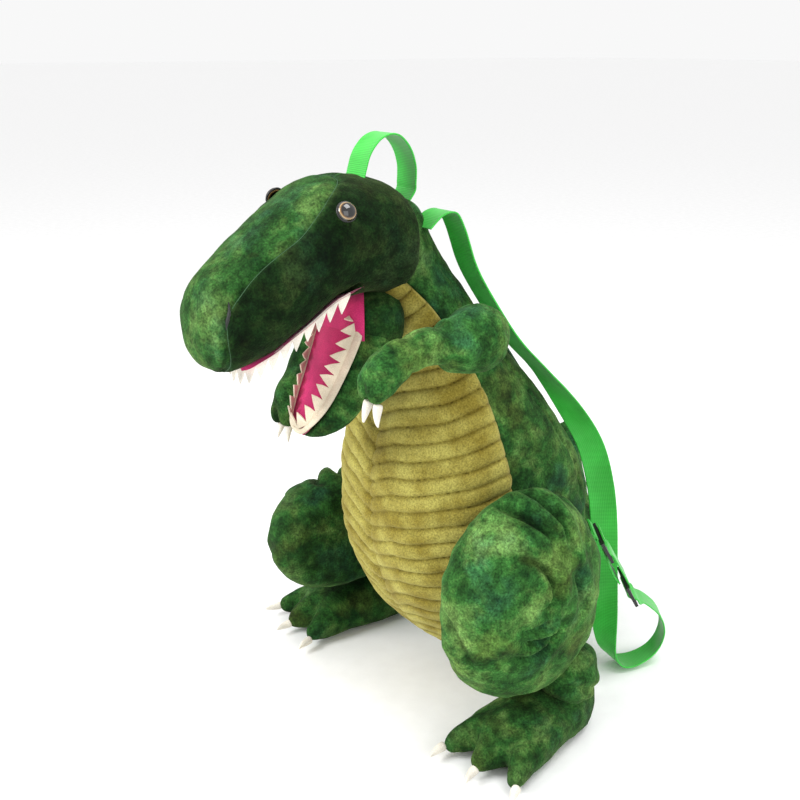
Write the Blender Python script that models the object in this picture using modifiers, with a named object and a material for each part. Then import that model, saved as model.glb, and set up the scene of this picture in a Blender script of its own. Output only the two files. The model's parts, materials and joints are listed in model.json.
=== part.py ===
"""Plush dinosaur backpack, modelled at real size in metres, +Z up.

The toy faces -Y and its left side is +X. Soft pieces are panels, skins and fillings laid over a few
smooth forms; the zip, rings and slides are hard pieces made from boxes.
"""

import math

import bmesh
import bpy
from mathutils import Matrix, Vector

# ---------------------------------------------------------------- driving dimensions (metres)

FRAME_SHIFT = Vector((0.0, -0.14875, 0.0))  # puts the middle of the toy's footprint on the origin

PILE = 0.0020            # plush with its backing
FELT = 0.0014            # teeth and claws, mouth lining
SEAM = 0.0016            # clear space left between two panels
FILL_DEPTH = 0.0046      # the filling's surface lies this far under the skin's outer face
BODY_FILL_DEPTH = 0.0062
LAP = 0.0004             # clear space between pieces that touch

NECK_PIVOT = Vector((0.0, 0.055, 0.385))
NECK_BALL = 0.0385
JAW_PIVOT = Vector((0.0, 0.031, 0.352))
SHOULDER = Vector((0.072, 0.078, 0.332))
HIP = Vector((0.0905, 0.100, 0.131))
TAIL_PIVOT = Vector((0.0, 0.236, 0.092))
TAIL_ROOT = 0.0050       # the tail's seam lies this far behind its pivot
SOCKET_PLAY = 0.0035     # space round the neck's ball, inside the head's filling

HIP_FACE = 0.0900        # the body is pressed flat here by the thighs
BODY_SQUARE = 2.5        # exponent of the body's sections; 2 would be an ellipse

# Places along the body's form, 0 under the seat and 1 on top of the neck.
PANELS_START = 0.030
THROAT = 0.70            # the body panels end here and the neck skin begins
NECK_GAP = 0.008
NECK_TOP = 0.985

BELLY_SEAM = math.radians(80)    # angles are taken round the body from the middle of the belly
SIDE_SEAM = math.radians(126)
LIP_SEAM = math.radians(47)      # taken round the head from the middle of the palate
CHEEK_SEAM = math.radians(64)    # the same seam behind the mouth, where the neck comes in
BROW_SEAM = math.radians(128)
JAW_SEAM = math.radians(112)     # taken round the jaw from the middle of the chin

# Places along the head's form, 0 at its rear edge and 1 at the nose.
CHEEK_END = 0.16         # the lip starts to draw in from the cheek here
MOUTH_REAR = 0.26
MOUTH_SIDE = 0.30        # the lips run straight as far as here, then curve in
MOUTH_FRONT = 0.63
MOUTH_ROUND = 2.6        # exponent of that curve; 2 would be half an ellipse
HEAD_END = 0.995
JAW_PANELS = (0.06, 0.985)   # places along the jaw's form

TOOTH_PITCH = 0.0105
TOOTH_HEIGHT = 0.0125
TOOTH_DROP = 0.0050      # the upper strip hangs this far below the lip
TOOTH_CLEARANCE = 0.0042 # the lower strip stands this far off the jaw's lining

ARM_LOWERED = math.radians(62)   # the right arm hangs this much lower than the left
RIGHT_HIP_SHIFT = Vector((0.0, -0.010, -0.030))   # the right leg sits lower, pressed down by this
RIGHT_THIGH_HEIGHT = 0.66        # much, and its thigh is squashed to this part of its height

EYE_RADIUS = 0.0085
EYE_DEPTH = 0.0048

CLAW_LENGTH = 0.016
CLAW_RADIUS = 0.0046
TOE_CLAW_LENGTH = 0.017

WEBBING_WIDTH = 0.024
WEBBING = 0.0014
STRAP_STEP = 0.0125

ZIP_CENTRE = Vector((0.0, 0.1835, 0.2618))
ZIP_DOWN = Vector((0.0, 0.600, -0.800)).normalized()
ZIP_LENGTH = 0.118       # clear length of the slit
ZIP_WIDTH = 0.044        # clear width of the slit with its lips folded in
PLACKET_RIM = 0.0070
PLACKET = 0.0014
LIP_PLAY = 0.0011        # space between a lip's hinge line and the edge of the slit
BAG_DEPTH = 0.076
BAG_CLOTH = 0.0012
SLIDER = (0.0090, 0.0130, 0.0034)
PULL = (0.0070, 0.0260, 0.0014)

BUCKLE_BAR = 0.0030
BUCKLE_THICK = 0.0026
BUCKLE_SLOT = 0.0064

# A station is the centre of a section with its half width (across) and half depth.
BODY = [
    (0.0, 0.160, 0.0280, 0.0060, 0.0060),
    (0.0, 0.160, 0.0330, 0.0400, 0.0350),
    (0.0, 0.157, 0.0560, 0.0740, 0.0660),
    (0.0, 0.147, 0.1000, 0.0900, 0.0870),
    (0.0, 0.142, 0.1500, 0.0960, 0.0960),
    (0.0, 0.137, 0.2000, 0.0930, 0.0910),
    (0.0, 0.1245, 0.2500, 0.0800, 0.0705),
    (0.0, 0.107, 0.3000, 0.0640, 0.0450),
    (0.0, 0.0880, 0.3400, 0.0500, 0.0370),
    (0.0, 0.0680, 0.3680, 0.0405, 0.0380),
    (0.0, 0.0560, 0.3900, 0.0370, 0.0370),
    (0.0, 0.0550, 0.4100, 0.0290, 0.0290),
    (0.0, 0.0550, 0.4210, 0.0140, 0.0140),
    (0.0, 0.0550, 0.4235, 0.0030, 0.0030),
]
HEAD = [
    (0.0, 0.0600, 0.3900, 0.0510, 0.0390),
    (0.0, 0.0440, 0.3930, 0.0530, 0.0440),
    (0.0, 0.0200, 0.3970, 0.0525, 0.0440),
    (0.0, -0.0060, 0.3920, 0.0510, 0.0460),
    (0.0, -0.0330, 0.3765, 0.0480, 0.0475),
    (0.0, -0.0580, 0.3610, 0.0440, 0.0455),
    (0.0, -0.0790, 0.3505, 0.0390, 0.0405),
    (0.0, -0.0950, 0.3450, 0.0310, 0.0320),
    (0.0, -0.1025, 0.3420, 0.0180, 0.0180),
    (0.0, -0.1040, 0.3415, 0.0040, 0.0040),
]
JAW = [
    (0.0, 0.0350, 0.3390, 0.0150, 0.0050),
    (0.0, 0.0340, 0.3330, 0.0370, 0.0150),
    (0.0, 0.0300, 0.3160, 0.0410, 0.0190),
    (0.0, 0.0180, 0.2900, 0.0380, 0.0185),
    (0.0, 0.0030, 0.2670, 0.0330, 0.0150),
    (0.0, -0.0120, 0.2530, 0.0220, 0.0090),
    (0.0, -0.0180, 0.2480, 0.0060, 0.0030),
]
LEFT_ARM = [
    (0.004, 0.009, -0.006, 0.0050, 0.0050),
    (0.009, 0.006, -0.004, 0.0210, 0.0220),
    (0.018, -0.005, -0.003, 0.0260, 0.0265),
    (0.021, -0.023, -0.004, 0.0225, 0.0230),
    (0.020, -0.043, -0.001, 0.0165, 0.0170),
    (0.018, -0.061, -0.003, 0.0145, 0.0150),
    (0.016, -0.079, -0.013, 0.0175, 0.0165),
    (0.015, -0.090, -0.028, 0.0150, 0.0130),
    (0.014, -0.094, -0.038, 0.0040, 0.0040),
]
RIGHT_ARM = [
    (0.004, 0.009, -0.006, 0.0050, 0.0050),
    (0.009, 0.006, -0.004, 0.0210, 0.0220),
    (0.018, -0.006, -0.003, 0.0260, 0.0265),
    (0.023, -0.028, -0.003, 0.0225, 0.0230),
    (0.025, -0.050, 0.000, 0.0165, 0.0170),
    (0.027, -0.074, 0.001, 0.0145, 0.0150),
    (0.030, -0.100, -0.002, 0.0175, 0.0165),
    (0.031, -0.119, -0.005, 0.0145, 0.0130),
    (0.031, -0.125, -0.007, 0.0040, 0.0040),
]
# The place between an arm's two claws, and how far they point forward and up.
LEFT_FINGERTIPS = ((0.015, -0.0925, -0.0400), (-0.35, -1.0))
RIGHT_FINGERTIPS = ((0.031, -0.1265, -0.0080), (-1.0, -0.10))
THIGH = [
    (0.0010, 0.000, 0.0000, 0.0520, 0.0600),
    (0.0050, 0.000, 0.0000, 0.0630, 0.0730),
    (0.0180, 0.000, 0.0000, 0.0715, 0.0820),
    (0.0340, 0.000, 0.0000, 0.0710, 0.0815),
    (0.0480, 0.000, 0.0000, 0.0640, 0.0740),
    (0.0590, 0.000, 0.0000, 0.0500, 0.0580),
    (0.0650, 0.000, 0.0000, 0.0300, 0.0340),
    (0.0665, 0.000, 0.0000, 0.0040, 0.0040),
]
TAIL = [
    (0.000, 0.006, 0.002, 0.0100, 0.0100),
    (0.000, 0.010, 0.001, 0.0440, 0.0460),
    (-0.010, 0.034, -0.020, 0.0430, 0.0450),
    (-0.034, 0.072, -0.045, 0.0385, 0.0395),
    (-0.070, 0.106, -0.048, 0.0320, 0.0330),
    (-0.104, 0.132, -0.030, 0.0260, 0.0270),
    (-0.122, 0.145, 0.008, 0.0210, 0.0210),
    (-0.126, 0.150, 0.040, 0.0140, 0.0140),
    (-0.126, 0.151, 0.052, 0.0030, 0.0030),
]

# Rings of the foot's cage, heel to toe roots: distance back, half width, sole height, top height.
FOOT_RINGS = [
    (0.066, 0.014, 0.014, 0.040),
    (0.056, 0.025, 0.000, 0.046),
    (0.024, 0.031, 0.000, 0.046),
    (-0.012, 0.037, 0.000, 0.043),
    (-0.040, 0.040, 0.000, 0.036),
]
FOOT_CENTRE = Vector((0.125, 0.111, 0.0))
FOOT_TURN = math.radians(9)
TOE_LENGTH = 0.036
OUTER_TOE = 0.82         # an outer toe's length against the middle one's
TOE_TAPER = 0.80
TOE_SPREAD = 0.26
TOE_TIP_HEIGHT = 0.022

# The left shoulder strap, from the neck over the back, round the slack turn and up to its ring.
STRAP_ROUTE = [
    (0.026, 0.0850, 0.4090),
    (0.027, 0.0940, 0.4115),
    (0.030, 0.1020, 0.398),
    (0.034, 0.1115, 0.368),
    (0.039, 0.1290, 0.337),
    (0.045, 0.1490, 0.307),
    (0.051, 0.1760, 0.278),
    (0.052, 0.2060, 0.244),
    (0.053, 0.2330, 0.206),
    (0.054, 0.2470, 0.170),
    (0.056, 0.2530, 0.135),
    (0.061, 0.2520, 0.095),
    (0.071, 0.2450, 0.052),
    (0.082, 0.2390, 0.020),
    (0.088, 0.2470, 0.0065),
    (0.093, 0.2660, 0.0045),
    (0.097, 0.2850, 0.0130),
    (0.100, 0.2900, 0.0330),
    (0.100, 0.2800, 0.0530),
    (0.0985, 0.2620, 0.0690),
]
GLIDE_CENTRE = Vector((0.0970, 0.2440, 0.0840))
RING_CENTRE = Vector((0.0890, 0.2190, 0.1290))
RING_ACROSS = Vector((0.80, -0.60, 0.0))   # the left ring lies flat on the side seam
# The strap's width direction at shares of its way: flat on the neck, on edge beside the back, then the ring's.
STRAP_TURNS = ((0.28, Vector((1, 0, 0))), (0.42, Vector((0.60, 0.80, 0))), (0.66, Vector((0.60, 0.80, 0))),
               (0.84, RING_ACROSS))
TAB_LENGTH = 0.020

# The carrying loop, from the crown to the seam at the back of the head.
LOOP_ROUTE = [
    (0.0, 0.0350, 0.4440),
    (0.0, 0.0390, 0.4540),
    (0.0, 0.0490, 0.4640),
    (0.0, 0.0620, 0.4660),
    (0.0, 0.0730, 0.4570),
    (0.0, 0.0785, 0.4440),
    (0.0, 0.0790, 0.4330),
    (0.0, 0.0780, 0.4240),
]


# ---------------------------------------------------------------- scene and materials

def srgb(code):
    """Linear colour of a hex code such as '2f6b34'."""
    values = []
    for start in (0, 2, 4):
        part = int(code[start:start + 2], 16) / 255
        values.append(part / 12.92 if part <= 0.04045 else ((part + 0.055) / 1.055) ** 2.4)
    return (*values, 1.0)


def material(name, code, roughness, metallic=0.0):
    """A plain Principled material."""
    made = bpy.data.materials.get(name) or bpy.data.materials.new(name)
    made.use_nodes = True
    shader = made.node_tree.nodes["Principled BSDF"]
    shader.inputs["Base Color"].default_value = srgb(code)
    shader.inputs["Roughness"].default_value = roughness
    shader.inputs["Metallic"].default_value = metallic
    made.diffuse_color = srgb(code)
    return made


def clear_scene():
    for thing in list(bpy.data.objects):
        bpy.data.objects.remove(thing)


def new_collection(name):
    made = bpy.data.collections.new(name)
    bpy.context.scene.collection.children.link(made)
    return made


def finish(name, bm, look, parent=None, smooth=True):
    """Turn a bmesh into a named part with its material."""
    mesh = bpy.data.meshes.new(name)
    bm.to_mesh(mesh)
    bm.free()
    if smooth:
        mesh.shade_smooth()
        mesh.set_sharp_from_angle(angle=math.radians(50))
    mesh.materials.append(look)
    thing = bpy.data.objects.new(name, mesh)
    PARTS.objects.link(thing)
    thing.parent = parent
    return thing


def pivot(name, place, parent=None, rotation=None):
    """An empty on a joint's axis; parts are parented to it."""
    made = bpy.data.objects.new(name, None)
    made.empty_display_size = 0.03
    PARTS.objects.link(made)
    made.parent = parent
    made.location = place
    if rotation is not None:
        made.rotation_euler = rotation.to_euler()
    return made


def cutter(name, bm, parent):
    """A hidden solid for a Boolean."""
    mesh = bpy.data.meshes.new(name)
    bm.to_mesh(mesh)
    bm.free()
    thing = bpy.data.objects.new(name, mesh)
    CUTTERS.objects.link(thing)
    thing.parent = parent
    thing.display_type = "WIRE"
    thing.hide_render = True
    return thing


def cut(thing, tool):
    modifier = thing.modifiers.new("cut " + tool.name, "BOOLEAN")
    modifier.operation = "DIFFERENCE"
    modifier.object = tool


def draw_in(thing, depth):
    """Move a closed surface inwards, to lie under a skin of the same shape."""
    modifier = thing.modifiers.new("under the skin", "DISPLACE")
    modifier.strength = -depth
    modifier.mid_level = 0.0


def solidify(thing, thickness, offset):
    modifier = thing.modifiers.new("thickness", "SOLIDIFY")
    modifier.thickness = thickness
    modifier.offset = offset


# ---------------------------------------------------------------- smooth forms

def smooth(rows, position):
    """Catmull-Rom value of a list of equal tuples, position running from 0 to 1."""
    scaled = min(max(position, 0.0), 1.0) * (len(rows) - 1)
    index = min(int(scaled), len(rows) - 2)
    t = scaled - index
    before = rows[max(index - 1, 0)]
    start, end = rows[index], rows[index + 1]
    after = rows[min(index + 2, len(rows) - 1)]
    return tuple(
        0.5 * (2 * b + (c - a) * t + (2 * a - 5 * b + 4 * c - d) * t ** 2
               + (3 * b - a - 3 * c + d) * t ** 3)
        for a, b, c, d in zip(before, start, end, after)
    )


def signed_power(value, exponent):
    return math.copysign(abs(value) ** exponent, value)


class Form:
    """A rounded body swept through stations; angles start on its underside or front."""

    def __init__(self, stations, axes=None, square=2.0, press=None):
        self.stations = stations
        self.fixed_axes = axes
        self.square = square
        self.press = press

    def axes(self, along):
        if self.fixed_axes:
            return self.fixed_axes
        ahead = Vector(smooth(self.stations, min(along + 0.02, 1))[:3])
        behind = Vector(smooth(self.stations, max(along - 0.02, 0))[:3])
        tangent = (ahead - behind).normalized()
        side = (Vector((1, 0, 0)) - tangent * tangent.x).normalized()
        return side, tangent.cross(side).normalized()

    def point(self, around, along):
        x, y, z, half_width, half_depth = smooth(self.stations, along)
        side, depth = self.axes(along)
        power = 2 / self.square
        across = half_width * signed_power(math.sin(around), power)
        down = half_depth * signed_power(math.cos(around), power)
        place = Vector((x, y, z)) + side * across - depth * down
        return self.press(place) if self.press else place


def form_solid(name, form, look, segments, rings, parent=None, depth=FILL_DEPTH):
    """A closed filling, mapped from a sphere and drawn in under its skin."""
    bm = bmesh.new()
    bmesh.ops.create_uvsphere(bm, u_segments=segments, v_segments=rings, radius=1.0)
    for vert in bm.verts:
        around = math.atan2(vert.co.x, -vert.co.y)
        along = math.acos(max(-1.0, min(1.0, -vert.co.z))) / math.pi
        vert.co = form.point(around, along)
    thing = finish(name, bm, look, parent)
    draw_in(thing, depth)
    return thing


def form_skin(name, form, look, segments, rings, first, thickness=PILE, parent=None):
    """A skin open at its sewn end: rings before 'first' are left out."""
    bm = bmesh.new()
    bmesh.ops.create_uvsphere(bm, u_segments=segments, v_segments=rings, radius=1.0)
    limit = -math.cos(math.pi * (first - 0.5) / rings)
    low = [vert for vert in bm.verts if vert.co.z < limit]
    bmesh.ops.delete(bm, geom=low, context="VERTS")
    for vert in bm.verts:
        around = math.atan2(vert.co.x, -vert.co.y)
        along = math.acos(max(-1.0, min(1.0, -vert.co.z))) / math.pi
        vert.co = form.point(around, along)
    thing = finish(name, bm, look, parent)
    solidify(thing, thickness, -1.0)
    return thing


def form_panel(name, form, look, around, along, cells, thickness=PILE, gaps=(1, 1), parent=None):
    """A sewn panel between two seams; each seam is a function of the place along the form."""
    bm = bmesh.new()
    across_cells, along_cells = cells
    bmesh.ops.create_grid(bm, x_segments=across_cells, y_segments=along_cells, size=0.5)
    for vert in bm.verts:
        place = along[0] + (along[1] - along[0]) * (vert.co.y + 0.5)
        width = max(smooth(form.stations, place)[3:])
        inset = SEAM / 2 / max(width, 0.004)
        start = around[0](place) + inset * gaps[0]
        end = around[1](place) - inset * gaps[1]
        vert.co = form.point(start + (end - start) * (vert.co.x + 0.5), place)
    thing = finish(name, bm, look, parent)
    solidify(thing, thickness, -1.0)
    return thing


# ---------------------------------------------------------------- small builders

def box(bm, size, centre=(0, 0, 0)):
    """Add a box of the given full sizes."""
    made = bmesh.ops.create_cube(bm, size=1.0)
    bmesh.ops.scale(bm, vec=size, verts=made["verts"])
    bmesh.ops.translate(bm, vec=centre, verts=made["verts"])


def box_part(name, size, look, parent, centre=(0, 0, 0), bevel=0.0):
    bm = bmesh.new()
    box(bm, size, centre)
    thing = finish(name, bm, look, parent, smooth=False)
    if bevel:
        modifier = thing.modifiers.new("soft edges", "BEVEL")
        modifier.width = bevel
        modifier.segments = 1
        modifier.limit_method = "ANGLE"
    return thing


def box_cutter(name, size, parent, centre=(0, 0, 0)):
    bm = bmesh.new()
    box(bm, size, centre)
    return cutter(name, bm, parent)


def ribbon(name, centres, sides, width, thickness, look, parent=None):
    """Flat webbing along a list of centres, its width along the matching side directions."""
    bm = bmesh.new()
    bmesh.ops.create_grid(bm, x_segments=1, y_segments=len(centres) - 1, size=0.5)
    for vert in bm.verts:
        index = round((vert.co.y + 0.5) * (len(centres) - 1))
        vert.co = centres[index] + sides[index] * (vert.co.x * width)
    thing = finish(name, bm, look, parent, smooth=False)
    solidify(thing, thickness, 0.0)
    return thing


def spaced(route, step):
    """Evenly spaced points of the smooth curve through a route."""
    fine = [Vector(smooth(route, i / 600)) for i in range(601)]
    total = sum((b - a).length for a, b in zip(fine, fine[1:]))
    count = max(2, round(total / step))
    result, travelled, wanted = [fine[0]], 0.0, total / count
    for before, after in zip(fine, fine[1:]):
        travelled += (after - before).length
        if travelled >= wanted - 1e-9 and len(result) < count:
            result.append(after)
            wanted += total / count
    result.append(fine[-1])
    return result


def tooth_strip(name, path, outward, height, look, parent):
    """One felt strip of pointed teeth: a tooth between every two points of the path."""
    bm = bmesh.new()
    band = height * 0.25
    roots = [bm.verts.new(point) for point in path]
    notches = [bm.verts.new(point + outward * band) for point in path]
    for index in range(len(path) - 1):
        middle = (path[index] + path[index + 1]) / 2
        tip = bm.verts.new(middle + outward * height)
        bm.faces.new((roots[index], roots[index + 1], notches[index + 1], tip, notches[index]))
    thing = finish(name, bm, look, parent, smooth=False)
    solidify(thing, FELT, 0.0)
    return thing


def claw(name, base, direction, length, look, parent):
    """A sewn felt claw, a cone with its root just clear of the fur."""
    bm = bmesh.new()
    bmesh.ops.create_cone(bm, cap_ends=True, segments=10, radius1=CLAW_RADIUS,
                          radius2=CLAW_RADIUS * 0.12, depth=length)
    turn = Vector((0, 0, 1)).rotation_difference(direction.normalized()).to_matrix().to_4x4()
    move = Matrix.Translation(base + direction.normalized() * (length / 2 + LAP))
    bmesh.ops.transform(bm, matrix=move @ turn, verts=bm.verts)
    return finish(name, bm, look, parent)


# ---------------------------------------------------------------- the toy

def press_body(place):
    """The thighs press the body's sides flat."""
    place.x = max(-HIP_FACE, min(HIP_FACE, place.x))
    return place


def belly_edge(along):
    """The belly panel narrows to the throat."""
    fade = min(max((along - 0.50) / 0.26, 0.0), 1.0)
    return BELLY_SEAM * (1 - 0.55 * fade)


def make_body(fur, cord, filling, root):
    """Five panels round the trunk and the filling under them."""
    body = Form(BODY, (Vector((1, 0, 0)), Vector((0, 1, 0))), BODY_SQUARE, press_body)
    height = (PANELS_START, THROAT)

    def fixed(angle):
        return lambda along: angle

    form_panel("belly_left", body, cord, (fixed(0.0), belly_edge), height, (6, 14), parent=root)
    form_panel("belly_right", body, cord, (lambda s: -belly_edge(s), fixed(0.0)), height, (6, 14), parent=root)
    form_panel("side_left", body, fur, (belly_edge, fixed(SIDE_SEAM)), height, (5, 14), parent=root)
    form_panel("side_right", body, fur, (fixed(-SIDE_SEAM), lambda s: -belly_edge(s)), height, (5, 14),
               parent=root)
    back = form_panel("back_panel", body, fur, (fixed(SIDE_SEAM), fixed(math.tau - SIDE_SEAM)), height,
                      (10, 14), parent=root)
    stuffing = form_solid("body_filling", body, filling, 24, 16, root, BODY_FILL_DEPTH)
    return body, back, stuffing


def make_neck(body, fur, root):
    """The neck skin, one tube above the body panels that ends in the ball under the head."""
    bm = bmesh.new()
    segments, rings = 18, 5
    bmesh.ops.create_cone(bm, cap_ends=False, segments=segments, radius1=1, radius2=1, depth=1)
    upright = [edge for edge in bm.edges if abs(edge.verts[0].co.z - edge.verts[1].co.z) > 0.5]
    bmesh.ops.subdivide_edges(bm, edges=upright, cuts=rings - 1)
    start = THROAT + NECK_GAP
    for vert in bm.verts:
        around = math.atan2(vert.co.x, -vert.co.y)
        vert.co = body.point(around, start + (NECK_TOP - start) * (vert.co.z + 0.5))
    thing = finish("neck_skin", bm, fur, root)
    solidify(thing, PILE, -1.0)


def make_zip(back, stuffing, tape, metal, lining, root):
    """The slit in the back, its two folding lips, the slider and the bag behind it."""
    rotation = Matrix((Vector((1, 0, 0)), ZIP_DOWN, Vector((1, 0, 0)).cross(ZIP_DOWN))).transposed()
    frame = pivot("zip_frame", ZIP_CENTRE, root, rotation)
    outer = (ZIP_WIDTH + 2 * PLACKET_RIM, ZIP_LENGTH + 2 * PLACKET_RIM)
    deep = 0.05

    cut(back, box_cutter("back_cut", (outer[0] + 0.002, outer[1] + 0.002, deep), frame))
    cut(stuffing, box_cutter("rim_space", (outer[0] + 0.002, outer[1] + 0.002, deep), frame,
                             (0, 0, deep / 2 - 0.0012)))
    bag = (ZIP_WIDTH + 2 * PLACKET_RIM - 0.004, ZIP_LENGTH + 2 * PLACKET_RIM - 0.004)
    cut(stuffing, box_cutter("bag_space", (bag[0] + 0.002, bag[1] + 0.002, BAG_DEPTH + 0.002), frame,
                             (0, 0, -BAG_DEPTH / 2 - 0.0012)))

    placket = box_part("zip_placket", (*outer, PLACKET), tape, frame)
    cut(placket, box_cutter("slit", (ZIP_WIDTH, ZIP_LENGTH, 0.01), frame))

    inner = (bag[0] - 2 * BAG_CLOTH, bag[1] - 2 * BAG_CLOTH)
    rim = -PLACKET / 2 - LAP
    pouch = box_part("bag_lining", (*bag, BAG_DEPTH), lining, frame, (0, 0, rim - BAG_DEPTH / 2))
    cut(pouch, box_cutter("bag_hollow", (*inner, BAG_DEPTH), frame,
                          (0, 0, rim - BAG_DEPTH / 2 + BAG_CLOTH)))

    half = ZIP_WIDTH / 2 - LIP_PLAY
    lip_width = half - LAP
    for side, word in ((1, "left"), (-1, "right")):
        hinge = pivot("lip_hinge_" + word, (side * half, 0, 0), frame)
        box_part("zip_lip_" + word, (lip_width, ZIP_LENGTH - 4 * LAP, PLACKET), tape, hinge,
                 (-side * (lip_width / 2), 0, 0))

    travel_start = -ZIP_LENGTH / 2 + 0.008
    slide = pivot("slider_place", (0, travel_start, PLACKET / 2 + LAP), frame)
    box_part("zip_slider", SLIDER, metal, slide, (0, 0, SLIDER[2] / 2), bevel=0.0008)
    hang = pivot("pull_hinge", (0, 0.002, SLIDER[2] + LAP + PULL[2] / 2), slide)
    box_part("zip_pull", PULL, metal, hang, (0, PULL[1] / 2, 0), bevel=0.0004)


def make_head(fur, pink, felt, eye_look, filling, root):
    head_pivot = pivot("neck_joint", NECK_PIVOT, root)
    local = [(x, y - NECK_PIVOT.y, z - NECK_PIVOT.z, w, d) for x, y, z, w, d in HEAD]
    head = Form(local, (Vector((1, 0, 0)), Vector((0, 0, 1))), 2.3)

    def brow(along):
        """The snout's top panel comes to a point on the crown."""
        fade = min(max((0.52 - along) / 0.30, 0.0), 1.0)
        return BROW_SEAM + (math.pi - 0.10 - BROW_SEAM) * fade

    def lip(along):
        if along < MOUTH_SIDE:
            fade = min(max((along - CHEEK_END) / (MOUTH_SIDE - CHEEK_END), 0.0), 1.0)
            return CHEEK_SEAM + (LIP_SEAM - CHEEK_SEAM) * fade
        ahead = min((along - MOUTH_SIDE) / (MOUTH_FRONT - MOUTH_SIDE), 1.0)
        return LIP_SEAM * (1 - ahead ** MOUTH_ROUND) ** (1 / MOUTH_ROUND)

    whole = (0.0, HEAD_END)
    form_panel("head_side_left", head, fur, (lip, brow), whole, (7, 22), parent=head_pivot)
    form_panel("head_side_right", head, fur, (lambda s: -brow(s), lambda s: -lip(s)), whole, (7, 22),
               parent=head_pivot)
    form_panel("head_top", head, fur, (brow, lambda s: math.tau - brow(s)), whole, (6, 14),
               parent=head_pivot)
    form_panel("palate", head, pink, (lambda s: -lip(s), lip), (MOUTH_REAR, MOUTH_FRONT - 0.04),
               (6, 10), thickness=FELT, parent=head_pivot)
    core = form_solid("head_filling", head, filling, 20, 14, head_pivot)
    bm = bmesh.new()
    bmesh.ops.create_uvsphere(bm, u_segments=20, v_segments=12, radius=NECK_BALL + SOCKET_PLAY)
    cut(core, cutter("neck_socket", bm, head_pivot))
    cut(core, box_cutter("neck_room", (0.20, 0.12, 0.12), head_pivot, (0, 0.0165, -0.0601)))

    rim = []
    for index in range(-9, 10):
        turn = math.radians(index * 10)
        angle = LIP_SEAM * 0.95 * signed_power(math.sin(turn), 2 / MOUTH_ROUND)
        ahead = (MOUTH_FRONT - 0.03 - MOUTH_SIDE) * math.cos(turn) ** (2 / MOUTH_ROUND)
        rim.append(head.point(angle, MOUTH_SIDE + ahead) - Vector((0, 0, TOOTH_DROP)))
    tooth_strip("teeth_upper", spaced(rim, TOOTH_PITCH), Vector((0, -0.15, -1)).normalized(),
                TOOTH_HEIGHT, felt, head_pivot)

    for side, word in ((1, "left"), (-1, "right")):
        seat = head.point(math.radians(122) * side, 0.335)
        out = Vector((side * 0.88, -0.12, 0.46)).normalized()
        bm = bmesh.new()
        bmesh.ops.create_uvsphere(bm, u_segments=16, v_segments=8, radius=EYE_RADIUS)
        bmesh.ops.scale(bm, vec=(1, 1, EYE_DEPTH / EYE_RADIUS), verts=bm.verts)
        turn = Vector((0, 0, 1)).rotation_difference(out).to_matrix().to_4x4()
        move = Matrix.Translation(seat + out * (EYE_DEPTH + 0.0008))
        bmesh.ops.transform(bm, matrix=move @ turn, verts=bm.verts)
        finish("eye_" + word, bm, eye_look, head_pivot)
    return head_pivot


def make_jaw(fur, pink, felt, filling, head_pivot):
    jaw_pivot = pivot("jaw_joint", JAW_PIVOT - NECK_PIVOT, head_pivot)
    local = [(x, y - JAW_PIVOT.y, z - JAW_PIVOT.z, w, d) for x, y, z, w, d in JAW]
    inside = Vector((0, -0.85, 0.52)).normalized()
    jaw = Form(local, (Vector((1, 0, 0)), inside), 2.3)

    form_panel("jaw_skin", jaw, fur, (lambda s: -JAW_SEAM, lambda s: JAW_SEAM), JAW_PANELS, (10, 9),
               parent=jaw_pivot)
    form_panel("tongue_lining", jaw, pink, (lambda s: JAW_SEAM, lambda s: math.tau - JAW_SEAM), JAW_PANELS,
               (6, 9), thickness=FELT, gaps=(2.5, 2.5), parent=jaw_pivot)
    form_solid("jaw_filling", jaw, filling, 16, 10, jaw_pivot)

    rim = []
    for index in range(-12, 13):
        turn = index / 12
        along = 0.22 + 0.60 * math.sqrt(1 - turn ** 4)
        angle = math.pi - turn * (math.pi - JAW_SEAM) * 0.93
        rim.append(jaw.point(angle, along) + inside * TOOTH_CLEARANCE)
    tooth_strip("teeth_lower", spaced(rim, TOOTH_PITCH), inside, TOOTH_HEIGHT, felt, jaw_pivot)


def press_limb(side, face):
    """Keep a limb's inner face flat, clear of the body."""
    def press(place):
        place.x = max(face, place.x) if side > 0 else min(-face, place.x)
        return place
    return press


def mirrored(stations, side):
    return [(x * side, y, z, w, d) for x, y, z, w, d in stations]


def make_arm(side, word, stations, lowered, fingertips, fur, felt, filling, root):
    """An arm with two claws; fingertips holds the place between the claws and the way they point."""
    place = Vector((SHOULDER.x * side, SHOULDER.y, SHOULDER.z))
    shoulder = pivot("shoulder_joint_" + word, place, root, Matrix.Rotation(lowered, 3, "X"))
    arm = Form(mirrored(stations, side), press=press_limb(side, -0.006))
    form_skin("arm_" + word, arm, fur, 12, 12, first=2, parent=shoulder)
    form_solid("arm_filling_" + word, arm, filling, 12, 12, shoulder)
    tip, way = fingertips
    for number, offset in ((1, -0.006), (2, 0.006)):
        base = Vector((side * (tip[0] + offset), tip[1], tip[2]))
        claw("finger_claw_%s_%d" % (word, number), base, Vector((side * offset * 12, way[0], way[1])),
             CLAW_LENGTH, felt, shoulder)


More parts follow.
